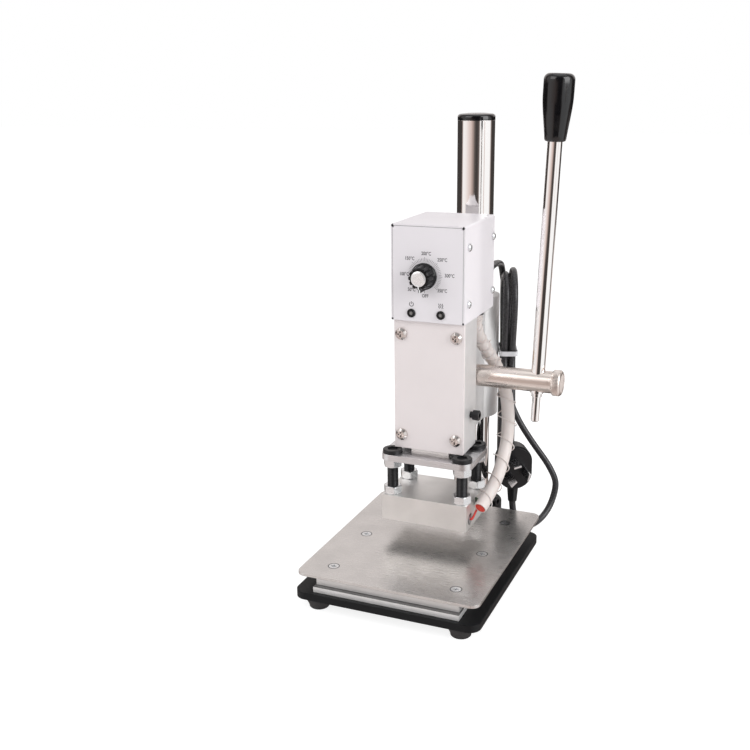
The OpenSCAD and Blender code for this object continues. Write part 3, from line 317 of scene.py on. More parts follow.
hank = np.array([hank_at(i / STEPS_A_TURN) for i in range(int(HANK_TURNS * STEPS_A_TURN) + 1)])
hank_way = hank[-1] - hank[-1 - STEPS_AT_END]
hank_way /= np.linalg.norm(hank_way)
hank_start = hank[0] + (0, 0, CORD_D)
hank_end = hank[-1] + CORD_D * hank_way
print("hank of", round(length_of(hank)), "mm")

# %% [markdown]
# ## Whole mains cord
# The cord leaves the gland at the back of the box, goes over the top of its own hank, and ends in a loop
# down to the bench and up to the plug. The loop's foot is a half circle that just clears the bench. All of
# the cord is one open spline, because a real cord is one piece.

# %% Whole cord
LEAD_ROUTE = ((18.5, -15, 203), (18.5, -7, 203), (18.5, 3, 203), (17.6, 18.5, 199), (16.2, 29.5, 187.5))
TAIL_ROUTE = ((22.2, 35.4, 83), (25.2, 36.8, 70), (32.2, 36, 56.5), (41, 34.8, 44.2), (50, 33.6, 33.2),
              (58.2, 32.8, 23.4), (64.6, 32.4, 13.4))
TAIL_LOW, PLUG_AT = np.array((68.0, 32.4)), np.array((44.0, -22.0))
BENCH_GAP, PLUG_RISE, TURN_POINTS = 0.15, 1.5, 9


def cord_curve(name, path_mm, diameter_mm, sides=4):
    """One open spline with a round section."""
    curve = bpy.data.curves.new(name, "CURVE")
    curve.dimensions = "3D"
    curve.bevel_depth, curve.bevel_resolution, curve.use_fill_caps = diameter_mm / 2 * MM, sides, True
    spline = curve.splines.new("POLY")
    spline.points.add(len(path_mm) - 1)
    spline.points.foreach_set("co", np.column_stack((path_mm * MM, np.ones(len(path_mm)))).ravel())
    spline.use_smooth = True
    made = bpy.data.objects.new(name, curve)
    scene.collection.objects.link(made)
    return made


tail_mid, tail_arm = (TAIL_LOW + PLUG_AT) / 2, (TAIL_LOW - PLUG_AT) / 2
turn_r = np.linalg.norm(tail_arm)
turn_z = FLOOR_Z + CORD_D / 2 + BENCH_GAP + turn_r
tail_turn = []
for a in np.linspace(0, math.pi, TURN_POINTS):
    tail_turn.append((*(tail_mid + math.cos(a) * tail_arm), turn_z - turn_r * math.sin(a)))
plug_foot = COLUMN + (*PLUG_AT, turn_z + PLUG_RISE)
lead = rounded([COLUMN + p for p in LEAD_ROUTE] + [hank_start + (0, 0, CORD_D)])
tail = rounded([hank_end + CORD_D * hank_way] + [COLUMN + p for p in (*TAIL_ROUTE, *tail_turn)])
mains_path = np.vstack((lead, [hank_start], hank, [hank_end], tail, [plug_foot]))
mains_cord = cord_curve("mains_cord", mains_path, CORD_D)
print("mains cord of", round(length_of(mains_path)), "mm")

# %% [markdown]
# ## Jacket of the cord
# Extruded rubber is black with a low sheen. Very fine ripples along it and a little dust keep it from
# looking like ink.

# %% Cord jacket
def rubber_finish(name, colour, roughness, grain_mm, depth_mm):
    dusty = tuple(0.7 * c + 0.03 for c in colour)
    grained(name, (colour, dusty), cloud=(9, 4), grain=(grain_mm, 3), roughness=roughness, spread=0.08,
            depth_mm=depth_mm, clouded=0.35, Specular_Ior_Level=0.4)


rubber_finish("black_cord", (0.034, 0.033, 0.036), roughness=0.28, grain_mm=0.9, depth_mm=0.03)
mains_cord.data.materials.append(finishes["black_cord"])
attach(mains_cord, "head")
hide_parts("mains_cord_lead", "mains_cord_hank", "mains_cord_tail")
print("cord rides on the head")

# %% [markdown]
# ## Meshes from rings
# Many small parts are a row of rings joined by faces. One helper hands a mesh to its body and finish, and
# one works out the faces.

# %% Ring meshes
def put(name, verts_mm, faces, body, slot, finish=None, crisp=None):
    """A mesh that rides on a body if it has one. Edges sharper than crisp degrees stay sharp."""
    mesh = bpy.data.meshes.new(name)
    mesh.from_pydata((np.asarray(verts_mm, float) * MM).tolist(), [], [list(map(int, f)) for f in faces])
    mesh.validate()
    mesh.shade_smooth()
    if crisp:
        mesh.set_sharp_from_angle(angle=math.radians(crisp))
    mesh.materials.append(finishes[finish or slot])
    made = bpy.data.objects.new(name, mesh)
    scene.collection.objects.link(made)
    if body:
        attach(made, body)
    return made


def ring_faces(rings, sides, start=0, caps=True, loop=False):
    """Faces that join rings of points. The ends get one face each, or the last ring joins the first."""
    faces = []
    for i in range(rings if loop else rings - 1):
        low, high = start + i * sides, start + (i + 1) % rings * sides
        for k in range(sides):
            j = (k + 1) % sides
            faces.append((low + k, low + j, high + j, high + k))
    if caps and not loop:
        faces.append(tuple(start + k for k in reversed(range(sides))))
        faces.append(tuple(start + (rings - 1) * sides + k for k in range(sides)))
    return faces


print("a tube of three rings with 8 sides has", len(ring_faces(3, 8)), "faces")

# %% [markdown]
# ## Rings along a path
# A tube round a bent path twists if each ring is set up alone. So a ring takes the axes of the one before
# it, turned no more than the bend asks for.

# %% Rings along a path
def turns(sides):
    return np.arange(sides) * 2 * np.pi / sides


def frames_along(path):
    """Directions along a path, and two cross axes carried along it without twist."""
    way = np.gradient(path, axis=0)
    way /= np.linalg.norm(way, axis=1)[:, None]
    first = np.cross(way[0], (0, 0, 1) if abs(way[0][2]) < 0.9 else (1, 0, 0))
    side = [first / np.linalg.norm(first)]
    for w in way[1:]:
        n = side[-1] - side[-1].dot(w) * w
        side.append(n / np.linalg.norm(n))
    side = np.array(side)
    return way, side, np.cross(way, side)


def rings_round(path, radii, sides, carried=None):
    """Rings of points round a path. radii has one row a ring and one column a side, or one value."""
    _, side, other = carried or frames_along(path)
    angles = turns(sides)[None, :, None]
    spokes = np.cos(angles) * side[:, None] + np.sin(angles) * other[:, None]
    radii = np.broadcast_to(radii, (len(path), sides))
    return (path[:, None] + radii[..., None] * spokes).reshape(-1, 3)


def at_marks(marks, reach, path):
    """Points of a path at these distances from its start."""
    return np.column_stack([np.interp(marks, reach, path[:, k]) for k in range(3)])


def even_steps(path, step):
    """The same line with points at even distances, and the distance of each from its start."""
    reach = np.concatenate(([0], np.cumsum(np.linalg.norm(np.diff(path, axis=0), axis=1))))
    marks = np.linspace(0, reach[-1], max(2, int(reach[-1] / step) + 1))
    return at_marks(marks, reach, path), marks


print("path helpers ready")

# %% [markdown]
# ## Turned shapes
# Nuts, threads, caps and knobs are an outline carried round a straight axis.

# %% Turned shapes
def lathe(profile, sides, foot, way=(0, 0, 1)):
    """Rings of points round a straight axis. Each ring has a radius, or one for each side, and a height."""
    way = np.array(way, float) / np.linalg.norm(way)
    first = np.cross((0, 1, 0) if abs(way[1]) < 0.9 else (1, 0, 0), way)
    first /= np.linalg.norm(first)
    spokes = np.cos(turns(sides))[:, None] * first + np.sin(turns(sides))[:, None] * np.cross(way, first)
    rings = [np.array(foot) + h * way + np.broadcast_to(r, sides)[:, None] * spokes for r, h in profile]
    return np.vstack(rings)


def lathed_at(places, profile, sides, **ends):
    """Points and faces of one turned shape that stands at several places."""
    verts, faces = [], []
    for place in places:
        faces += ring_faces(len(profile), sides, start=len(verts), **ends)
        verts.extend(lathe(profile, sides, place))
    return verts, faces


def corner(radius, height, edge, steps=6):
    """Profile points of a rounded outer edge below a flat top."""
    bends = np.linspace(0, np.pi / 2, steps)
    return [(radius - edge + edge * math.cos(a), height - edge + edge * math.sin(a)) for a in bends]


print("lathe helpers ready")

# %% [markdown]
# ## Plastic of the wrap and lining
# The heater lead's wrap is milky white and slightly warm, and lets a little light in. Its lining is a red
# woven sleeve, matt and coarse.

# %% Wrap and lining
WRAP_COLOURS = (0.73, 0.672, 0.65), (0.67, 0.605, 0.58)
SLEEVE_COLOURS = (0.85, 0.085, 0.055), (0.68, 0.055, 0.035)
LIGHT_GOES_IN = (0.002, 0.0012, 0.0009)
grained("white_wrap", WRAP_COLOURS, cloud=(14, 3), grain=(0.7, 2), roughness=0.4, spread=0.08, depth_mm=0.02,
        Subsurface_Weight=0.08, Subsurface_Radius=LIGHT_GOES_IN)
grained("red_sleeve", SLEEVE_COLOURS, cloud=(0.8, 1), grain=(0.8, 1), roughness=0.55, spread=0.1,
        depth_mm=0.12)
print(len(finishes), "finishes")

# %% [markdown]
# ## Heater lead in its spiral wrap
# A white sleeve goes from the box to the block. Near the box it is crumpled into folds that wind round it,
# so the radius of each point there follows the place of the nearest fold, with a low swelling beside it.
# Further down it is smooth. The open end shows the red lining. The lead bends between head and ram.

# %% Heater lead
HOSE_R, HOSE_LOW, HOSE_HIGH = 5.25, 31.5, 173.5
HOSE_ROUTE = ((21.2, 56, 1), (21.2, 56, 0.93), (24, 58, 0.86), (30, 61, 0.78), (36.5, 63, 0.7),
              (42.5, 63.5, 0.6), (46, 63, 0.5), (47.5, 62, 0.39), (48, 58, 0.29), (48, 50, 0.21),
              (47.5, 40, 0.14), (46, 29, 0.08), (44, 18, 0.034), (42, 9, 0))
HOSE_SIDES, HOSE_STEP, HOSE_TUCK = 48, 0.5, 0.15
FOLD_PITCH, FOLD_DEPTH, FOLD_W, FOLD_START, FOLD_TUCK = 8.0, 1.0, 0.7, 0.35, 0.1
SWELL, SWELL_AT, SWELL_W = 0.5, 1.9, 1.4
FOLDS_END, FOLDS_FADE = 44.0, 16
WANDER, WANDER_STEP, WANDER_ROUND = 0.16, 5.3, 0.1
LIP, LINING_RINGS = 1.1, 3

hose_points = [(x, y, mix(HOSE_LOW, HOSE_HIGH, share)) for x, y, share in HOSE_ROUTE]
hose_path = np.vstack((hose_points[:1], rounded(hose_points[1:])))
hose_line, hose_marks = even_steps(hose_path, HOSE_STEP)
angle = turns(HOSE_SIDES)[None]
wander = WANDER * np.sin(hose_marks / WANDER_STEP)[:, None] + WANDER_ROUND * np.sin(2 * angle)
phase = (hose_marks[:, None] / FOLD_PITCH - angle / (2 * np.pi) + wander + FOLD_START) % 1.0
from_fold = np.minimum(phase, 1 - phase) * FOLD_PITCH
crumpled = 1 - smooth((hose_marks - FOLDS_END) / FOLDS_FADE)[:, None]
fold = FOLD_DEPTH * np.exp(-(from_fold / FOLD_W) ** 2)
swelling = SWELL * np.exp(-((phase * FOLD_PITCH - SWELL_AT) / SWELL_W) ** 2)
hose_radii = HOSE_R - HOSE_TUCK + crumpled * (swelling - fold - FOLD_TUCK)

hose_axes = frames_along(hose_line)
outer = rings_round(hose_line, hose_radii, HOSE_SIDES, hose_axes)
inward = slice(-1, -1 - LINING_RINGS, -1)
lining_axes = [axis[inward] for axis in hose_axes]
lining = rings_round(hose_line[inward], HOSE_R - LIP, HOSE_SIDES, lining_axes)
hose_faces = ring_faces(len(hose_line) + LINING_RINGS, HOSE_SIDES)
heater_lead = put("heater_lead", np.vstack((outer, lining)), hose_faces, None, "white_wrap")
heater_lead.data.materials.append(finishes["red_sleeve"])
for face in heater_lead.data.polygons:
    if min(face.vertices) >= len(outer):
        face.material_index = 1
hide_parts("heater_hose")
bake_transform(heater_lead)
print("heater lead of", round(hose_marks[-1]), "mm, bends between head and ram")

# %% [markdown]
# ## Thread round the lead
# A thin pale thread is wound loosely round the sleeve. Seen from the front it crosses the sleeve from
# upper left to lower right and stands off in small loops, larger ones at the left. So the winding is
# counted from the picture's left. Beside the lever's shaft the thread lies close, to stay clear of it.

# %% Loose thread
THREAD_D, THREAD_SIDES, THREAD_FROM, THREAD_TO, THREAD_STEP = 0.8, 8, 16, 167, 0.4
THREAD_PITCH, THREAD_LIES, LOOP_LEFT, LOOP_RIGHT, LOOP_POWER = 17.5, 0.55, 2.6, 0.9, 5
SHAFT_Z, SHAFT_CLEAR, SHAFT_FADE = 127, 14, 8

thread_marks = np.arange(THREAD_FROM, THREAD_TO, THREAD_STEP)
thread_core = at_marks(thread_marks, hose_marks, hose_line)
core_way = frames_along(thread_core)[0]
to_left = (core_way @ np.array(right))[:, None] * core_way - np.array(right)
to_left /= np.linalg.norm(to_left, axis=1)[:, None]
to_front = np.cross(core_way, to_left)
to_front *= np.sign(to_front @ np.array(back))[:, None]
winding = 2 * np.pi * thread_marks / THREAD_PITCH
leftness, frontness = np.cos(winding), np.sin(winding)
off_shaft = smooth((np.abs(thread_core[:, 2] - SHAFT_Z) - SHAFT_CLEAR) / SHAFT_FADE)
left_loops = LOOP_LEFT * np.maximum(leftness, 0) ** LOOP_POWER
right_loops = LOOP_RIGHT * np.maximum(-leftness, 0) ** LOOP_POWER
thread_r = HOSE_R + THREAD_LIES + off_shaft * (left_loops + right_loops)
thread_path = thread_core + thread_r[:, None] * (leftness[:, None] * to_left + frontness[:, None] * to_front)
thread_rings = rings_round(thread_path, THREAD_D / 2, THREAD_SIDES)
thread_skin = ring_faces(len(thread_path), THREAD_SIDES)
lead_thread = put("lead_thread", thread_rings, thread_skin, None, "white_wrap")
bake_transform(lead_thread)
print("thread of", round(length_of(thread_path)), "mm")

# %% [markdown]
# ## Wires at the block
# The two heater wires and the probe's wire leave the lead through its wall, on the side near the block,
# and turn into the block's side. The lead's red end stays free. They are splines like the cord, and ride
# on the ram.

# %% Heater wires
WIRE_D = 1.8
WIRES = {
    "heater_wire_front": ((0.60, 0.04, 0.03), (
        (39, 12.2, 29.1), (37.9, 11.8, 27.3), (37.2, 9.8, 25), (36.7, 7.4, 23.2), (36.1, 6.1, 22.4),
        (35.4, 6, 22.4))),
    "probe_wire": ((0.03, 0.055, 0.03), (
        (38.7, 12.8, 37), (37.3, 12.9, 37.5), (36.6, 14.6, 36.2), (36.4, 17.4, 32.2), (36.3, 20, 28.4),
        (36.1, 21.3, 26.6), (35.4, 21.4, 26.4))),
    "heater_wire_back": ((0.78, 0.74, 0.72), (
        (40.8, 20.2, 33.4), (39.4, 22.6, 30.8), (38.2, 27, 27.2), (37.2, 32, 24.2), (36.5, 35.8, 22.7),
        (36, 36.7, 22.4), (35.4, 36.8, 22.4))),
}
for name, (colour, route) in WIRES.items():
    wire = cord_curve(name, rounded(route), WIRE_D, sides=3)
    rubber_finish(name, colour, roughness=0.42, grain_mm=0.6, depth_mm=0.02)
    wire.data.materials.append(finishes[name])
    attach(wire, "ram")
finishes["red_wire"] = finishes["heater_wire_front"]
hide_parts("heater_leads")

# %% [markdown]
# ## Studio
# The light is even and soft. Polished metal has no look of its own and shows what stands round it, so
# mirrors see a surround of their own, given by its brightness at each bearing in degrees from the
# camera's: two bright walls with a dark gap between them, as a photographer's flags give. For level rays,
# which upright metal sends out, it is dark behind the walls too. Rays that go steeply down or up have
# stretches of their own.

# %% Brightness by bearing
AMBIENT, ZENITH = 0.62, 0.48
FACING = ((-98, 0.35), (-91, 0.97), (-70, 0.92), (-50, 0.78), (-36, 0.66), (-28, 0.45), (-20, 0.28),
          (-15, 0.12), (-4, 0.05), (9, 0.08), (14, 0.25), (19, 1.0), (44, 1.0), (46, 0.6), (48, 0.6),
          (50, 1.0), (88, 1.0))
FLAGGED = ((-180, 0.05), (-104, 0.05), *FACING, (97, 0.3), (104, 0.05), (180, 0.05))
OPEN = ((-180, 0.92), (-142, 0.92), (-134, 0.3), (-118, 0.3), (-110, 0.92), (-70, 0.95), (-50, 0.86),
        (-40, 0.66), (-34, 0.25), (-27, 0.06), (12, 0.05), (18, 0.25), (23, 1.0), (84, 1.0), (92, 0.2),
        (116, 0.2), (124, 0.92), (180, 0.92))
BELOW = ((-180, 0.15), (-146, 0.15), (-128, 0.8), (-70, 1.0), (-30, 0.78), (24, 0.78), (60, 1.0), (104, 0.85),
         (122, 0.25), (146, 0.15), (180, 0.15))
STEEPLY_DOWN, LEVEL_FROM, LEVEL_TO, UPWARD = (-0.37, -0.335), (-0.2, -0.14), (0.02, 0.08), (0.5, 0.9)
WARMTH = ((0, 0), (0.7, 0.1), (0.9, 0.15))


def warm(brightness):
    """Greys of the studio are a little brown: WARMTH says what each colour loses in greys and in the dark."""
    grey, dark = brightness * (1 - brightness), 1 - brightness
    return [brightness * (1 - in_grey * grey - in_dark * dark) for in_grey, in_dark in WARMTH]


print("surround of", len(FLAGGED), "stops")

# %% [markdown]
# ## Surround
# A ray's bearing picks the brightness on each stretch, and its height says which stretch counts. Only
# mirrored rays see this. The camera sees white, and all other rays an even grey.

# %% Surround
def rays(finish):
    """Two signals: 1 for a ray of the camera, also through glass, and 1 for a mirrored one."""
    outputs = finish.node("LightPath").socket.node.outputs
    kinds = [Signal(finish, outputs["Is " + kind + " Ray"]) for kind in ("Camera", "Transmission", "Glossy")]
    return kinds[0].sum_node("MAXIMUM", kinds[0], kinds[1]), kinds[2]


scene.world = bpy.data.worlds.new("studio")
w = Finish(scene.world)
ray_way = w.node("TexCoord", output="Generated")
direction = w.node("SeparateXYZ", {"Vector": ray_way}).socket.node.outputs
across, along, height = (Signal(w, direction[axis]) for axis in "XYZ")
bearing = across.sum_node("ARCTAN2", across, along * -1) - AZIMUTH
bearing = w.node("Math", {0: bearing, 1: -math.pi, 2: math.pi}, operation="WRAP")
share = bearing / (2 * math.pi) + 0.5
stretches = []
for levels in (FLAGGED, OPEN, BELOW):
    stops = [(degrees / 360 + 0.5, warm(brightness)) for degrees, brightness in levels]
    stretches.append(w.node("ValToRGB", {"Fac": share}, stops=stops))
flagged, open_sides, below = stretches
level_ray = w.step_up(height, *LEVEL_FROM) * (1 - w.step_up(height, *LEVEL_TO))
walls = w.tint(level_ray, open_sides, flagged)
walls = w.tint(w.step_up(height, *STEEPLY_DOWN), below, walls)
mirrored = w.tint(w.step_up(height, *UPWARD), walls, (ZENITH,) * 3)
seen, glossy = rays(w)
plain = w.tint(glossy, (AMBIENT,) * 3, mirrored)
colour = w.tint(seen, plain, (1, 1, 1))
w.node("OutputWorld", {"Surface": w.node("Background", {"Color": colour})})
print(len(w.tree.nodes), "nodes in the surround")

# %% [markdown]
# ## Floor
# The floor is white to the camera and keeps a faint shadow, which it gets from a weak glow over a grey.
# Mirrors look through it at the surround below, because a white floor would wash out the chrome.

# %% Floor
FLOOR_HALF = 6000
FLOOR_LIT, FLOOR_SEEN, FLOOR_GLOW = 0.8, 0.35, 0.84
f = new_finish("studio_floor")
seen, glossy = rays(f)
pale, faint = (f.node("BsdfDiffuse", {"Color": (grey,) * 3}) for grey in (FLOOR_LIT, FLOOR_SEEN))
glow = f.node("Emission", {"Color": (1, 1, 1), "Strength": FLOOR_GLOW})
lit = f.node("AddShader", {0: faint, 1: glow})
looked_at = f.node("MixShader", {0: seen, 1: pale, 2: lit})
clear = f.node("BsdfTransparent")
f.node("OutputMaterial", {"Surface": f.node("MixShader", {0: glossy, 1: looked_at, 2: clear})})
floor_corners = ((-1, -1), (1, -1), (1, 1), (-1, 1))
floor_verts = [(x * FLOOR_HALF, y * FLOOR_HALF, FLOOR_Z) for x, y in floor_corners]
floor = put("studio_floor", floor_verts, [(0, 1, 2, 3)], None, None, "studio_floor")
print("floor lies at", FLOOR_Z, "mm")

# %% [markdown]
# ## Lamps
# One large lamp stands at the front left, another at the right, and a weak one above. They are as wide as
# soft boxes, so that shadows have no hard edge.

# %% Lamps
LAMPS = {
    "key": ((-0.95, -1.25, 1.25), 1.3, 9.6),
    "fill": ((1.45, -0.35, 0.85), 1.2, 16.5),
    "top": ((0.1, 0.2, 1.7), 1.2, 3.5),
}
for name, (place, size, power) in LAMPS.items():
    light = bpy.data.lights.new(name, "AREA")
    light.size, light.energy = size, power
    lamp = bpy.data.objects.new(name, light)
    lamp.location = place
    lamp.rotation_euler = (LOOKED_AT - Vector(place)).to_track_quat("-Z", "Y").to_euler()
    scene.collection.objects.link(lamp)
print(len(LAMPS), "lamps")

# %% [markdown]
# ## Painted sheet metal
# Powder coat has a fine orange-peel grain and a soft gloss. The box is a cool white and the front cover a
# warmer one. The solids have sharp edges, and paint never does, so a bevel shader rounds what the light
# sees of them.

# %% Powder coats
def powder_coat(name, colour, roughness, grain_mm, depth_mm, edge_mm, gloss=0.4):
    shade = tuple(0.965 * c for c in colour)
    grained(name, (colour, shade), cloud=(38, 3), grain=(grain_mm, 2), roughness=roughness, spread=0.06,
            depth_mm=depth_mm, edge_mm=edge_mm, Specular_Ior_Level=gloss)


powder_coat("white_paint", (0.80, 0.765, 0.795), 0.42, 0.5, 0.012, 0.5)
powder_coat("cover_paint", (0.81, 0.745, 0.745), 0.40, 0.5, 0.012, 0.4)
powder_coat("black_paint", (0.008, 0.0085, 0.0095), 0.46, 0.6, 0.03, 1.0, gloss=0.16)
rubber_finish("black_rubber", (0.018, 0.018, 0.019), roughness=0.62, grain_mm=1.1, depth_mm=0.05)
print(len(finishes), "finishes")

# %% [markdown]
# ## Bare metals
# A milled or brushed face has fine lines one way. They are a noise drawn out along that way, which goes
# into the roughness and a very shallow bump: the bump spreads a reflection across the lines, as on the
# table plate. Painted shade darkens the front of the heating block's underside, which lies in shade, and
# the faces of the rail that look up, which lie in the carriage's shade.

# %% Lined metals
ALONG = {"x": (0.02, 1, 1), "y": (1, 0.02, 1), "z": (1, 1, 0.02)}
# Painted shade on the block's underside and on the rail's top: share lost, faces (1 up, -1 down), fade from
# near to far in y.
BLOCK_PAINTED_SHADE, RAIL_PAINTED_SHADE = (0.97, -1, 12, 24), (0.76, 1, 200, 240)


def paint_shade(f, loss, facing, near, far):
    """Painted shade: colour left on faces that look up (1) or down (-1), fading out from near to far in y."""
    upward = f.node("SeparateXYZ", {0: f.node("NewGeometry", output="Normal")}, output="Z")
    along = f.node("SeparateXYZ", {0: f.place()}, output="Y")
    front_part = 1 - f.step_up(along, near * MM, far * MM)
    return 1 - loss * front_part * f.step_up(upward * facing, 0.5, 0.9)


def lined_metal(name, colour, lines, roughness, line_mm=0.35, depth_mm=0.006, edge_mm=0.3, metallic=1.0,
                spread=0.1, darkened=None):
    f = new_finish(name)
    line = f.noise(line_mm, 3, ALONG[lines])
    cloud = f.between(f.noise(22, detail=4), 0, 1)
    shade = 1 - 0.1 * cloud
    # Painted shade on faces that lie in shade under the block or the carriage.
    if darkened:
        shade = shade * paint_shade(f, *darkened)
    f.surface(
        Base_Color=f.tint(shade, (0, 0, 0), colour),
        Metallic=metallic,
        Roughness=f.between(line, roughness - spread, roughness + spread) + 0.05 * cloud,
        Normal=f.bump(line, depth_mm, f.soft_edges(edge_mm)),
    )


LINED_METALS = {
    "raw_aluminium": ((0.81, 0.80, 0.80), "z", 0.44, {"edge_mm": 0.4, "metallic": 0.55}),
    "rail_aluminium": ((0.88, 0.875, 0.87), "y", 0.46, {"metallic": 0.72}),
    "slide_aluminium": ((0.93, 0.925, 0.925), "y", 0.46, {"metallic": 0.55, "darkened": RAIL_PAINTED_SHADE}),
    "block_aluminium": ((0.88, 0.87, 0.855), "x", 0.44, {"line_mm": 0.3, "darkened": BLOCK_PAINTED_SHADE}),
    "brushed_plate": ((0.66, 0.64, 0.625), "x", 0.26, {"line_mm": 0.22, "metallic": 0.9, "spread": 0.07}),
    "hanger_steel": ((0.76, 0.76, 0.775), "x", 0.3, {"line_mm": 0.3}),
    "zinc_steel": ((0.76, 0.775, 0.79), "x", 0.2, {"line_mm": 0.5, "edge_mm": 0.25}),
    "spring_steel": ((0.50, 0.50, 0.51), "z", 0.3, {"line_mm": 0.3, "depth_mm": 0.005, "edge_mm": 0.2}),
    "black_oxide": ((0.022, 0.022, 0.024), "z", 0.34,
                    {"line_mm": 0.5, "depth_mm": 0.01, "edge_mm": 0.25, "metallic": 0.5}),
    "brass_blade": ((0.74, 0.60, 0.34), "x", 0.26, {"line_mm": 0.4, "depth_mm": 0.004, "edge_mm": 0.2}),
    "bronze": ((0.58, 0.40, 0.22), "x", 0.34, {"line_mm": 0.4, "edge_mm": 0.2}),
}
for slot, (*look, more) in LINED_METALS.items():
    lined_metal(slot, *look, **more)
print(len(finishes), "finishes")

# %% [markdown]
# ## Plated metals
# Chrome and nickel have no lines. A slow wave in the plate bends what they mirror, and a smear of handling
# makes them duller in patches.

# %% Plated metals
def polished(name, colour, roughness, edge_mm):
    f = new_finish(name)
    smear = f.between(f.noise(16, detail=4), 0, 1)
    f.surface(
        Base_Color=colour,
        Metallic=1.0,
        Roughness=roughness + 0.05 * smear,
        Normal=f.bump(f.noise(45, detail=1), 0.02, f.soft_edges(edge_mm)),
    )


polished("chrome_plate", (0.95, 0.93, 0.92), 0.035, 0.3)
polished("nickel_plate", (0.79, 0.72, 0.675), 0.25, 0.4)
polished("screw_chrome", (0.66, 0.62, 0.6), 0.08, 0.15)
print(len(finishes), "finishes")

# %% [markdown]
# ## Mouldings and print
# Glossy and matt plastics, the clouded lamp lens, the laminate of the board and the paints of the print.
# Their colour is lightened a little by a cloud, and a thin coat can lie over it.

# %% Plastics
def moulding(name, colour, roughness, grain_mm, depth_mm, coat=0.0, edge_mm=0.3, gloss=0.5):
    lighter = tuple(1.1 * c + 0.002 for c in colour)
    grained(name, (colour, lighter), cloud=(11, 3), grain=(grain_mm, 2), roughness=roughness, spread=0.04,
            depth_mm=depth_mm, edge_mm=edge_mm, Coat_Weight=coat, Coat_Roughness=0.08,
            Specular_Ior_Level=gloss)


MOULDINGS = {
    "black_gloss": ((0.002, 0.002, 0.003), 0.13, 3.0, 0.01, {"gloss": 0.6}),
    "black_matt": ((0.006, 0.006, 0.007), 0.32, 0.5, 0.015, {"gloss": 0.3}),
    "knob_black": ((0.003, 0.003, 0.004), 0.2, 0.5, 0.008, {"gloss": 0.24}),
    "grey_tie": ((0.62, 0.62, 0.64), 0.4, 0.8, 0.02, {}),
    "lamp_lens": ((0.20, 0.19, 0.185), 0.2, 0.4, 0.02, {"coat": 0.5}),
    "green_board": ((0.03, 0.16, 0.07), 0.35, 1.2, 0.02, {}),
    "board_black": ((0.02, 0.02, 0.022), 0.5, 0.6, 0.02, {}),
    "ink": ((0.03, 0.03, 0.032), 0.5, 0.4, 0.002, {"edge_mm": 0.05}),
    "seam": ((0.30, 0.29, 0.30), 0.5, 0.4, 0.002, {"edge_mm": 0.05}),
    "mark": ((0.80, 0.80, 0.80), 0.4, 0.4, 0.004, {"edge_mm": 0.05}),
}
for slot, (*look, more) in MOULDINGS.items():
    moulding(slot, *look, **more)
print(len(finishes), "finishes")

# %% [markdown]
# ## Turned cap
# The knob's silver cap comes off a lathe, so fine rings round its middle go into its roughness and bump.

# %% Turned cap
DIAL = np.array((-2.2, 4.2, 211.4))
CAP_RING = 0.45


def turned_face(name, colour, centre_mm, ring_mm):
    f = new_finish(name)
    centre = tuple(np.array(centre_mm) * MM)
    spot = f.node("VectorMath", {0: f.place(), 1: centre}, operation="SUBTRACT")
    flat = f.node("VectorMath", {0: spot, 1: (1, 0, 1)}, operation="MULTIPLY")
    reach = f.node("VectorMath", {0: flat}, output="Value", operation="LENGTH")
    rings = reach.sum_node("SINE", reach * (2 * math.pi / (ring_mm * MM)), 0)
    ridges = f.bump(rings, 0.003)
    f.surface(Base_Color=colour, Metallic=0.6, Roughness=0.26 + 0.06 * rings, Normal=ridges)


turned_face("silver_cap", (0.86, 0.86, 0.87), DIAL, CAP_RING)
print(len(finishes), "finishes")

# %% [markdown]
# ## Dressing the solids
# The record says which finish each solid has. A few of them need one of their own: the front cover's
# warmer paint, lines that follow the way a rail, block or plate was made, and the cover's brighter screws.

# %% Dress the solids
OWN = {
    "front_cover": "cover_paint",
    "hanger_plate": "hanger_steel",
    "slide_rail": "slide_aluminium",
    "table_carriage": "rail_aluminium",
    "heating_block": "block_aluminium",
    "cover_screws": "screw_chrome",
}
for part in frame["record"]["subparts"]:
    solid = nodes[part["node"]]
    solid.data.materials.clear()
    solid.data.materials.append(finishes[OWN.get(part["node"], part["material_slot"])])

# %% [markdown]
# ## Ink
# Print could be a picture on the paint, but that blurs close up. Here ink is a flat mesh just in front of
# the paint: strokes of a given width along a path, and letters from Blender's font.

# %% Ink helpers
INK_Y = DIAL[1] - 0.03
LETTER_NARROW, LETTER_WEIGHT = 0.82, 0.018
ink_verts, ink_faces = [], []


def ink(points, faces):
    """Adds a flat shape, given to the right of the dial's centre and up from it."""
    first = len(ink_verts)
    ink_verts.extend((DIAL[0] + x, INK_Y, DIAL[2] + z) for x, z in points)
    ink_faces.extend([first + int(i) for i in face] for face in faces)


def stroke(path, width):
    p = np.array(path, float)
    way = np.gradient(p, axis=0)
    way /= np.linalg.norm(way, axis=1)[:, None]
    side = np.column_stack((-way[:, 1], way[:, 0])) * width / 2
    edges = np.stack((p + side, p - side), axis=1).reshape(-1, 2)
    ink(edges, [(2 * i, 2 * i + 1, 2 * i + 3, 2 * i + 2) for i in range(len(p) - 1)])


def letters(words, centre, size):
    font = bpy.data.curves.new("lettering", "FONT")
    font.body, font.size, font.resolution_u = words, size, 3
    font.align_x, font.align_y, font.offset = "CENTER", "CENTER", LETTER_WEIGHT * size
    drawn = bpy.data.objects.new("lettering", font)
    flat = drawn.to_mesh()
    points = [(centre[0] + LETTER_NARROW * v.co.x, centre[1] + v.co.y) for v in flat.vertices]
    ink(points, [face.vertices for face in flat.polygons])
    drawn.to_mesh_clear()
    bpy.data.objects.remove(drawn)
    bpy.data.curves.remove(font)


def panel_place(x, z):
    """A place on the box's front, given in the machine's frame, as seen from the dial's centre."""
    return np.array((x - DIAL[0], z - DIAL[2]))


print("ink lies at y", round(INK_Y, 2))
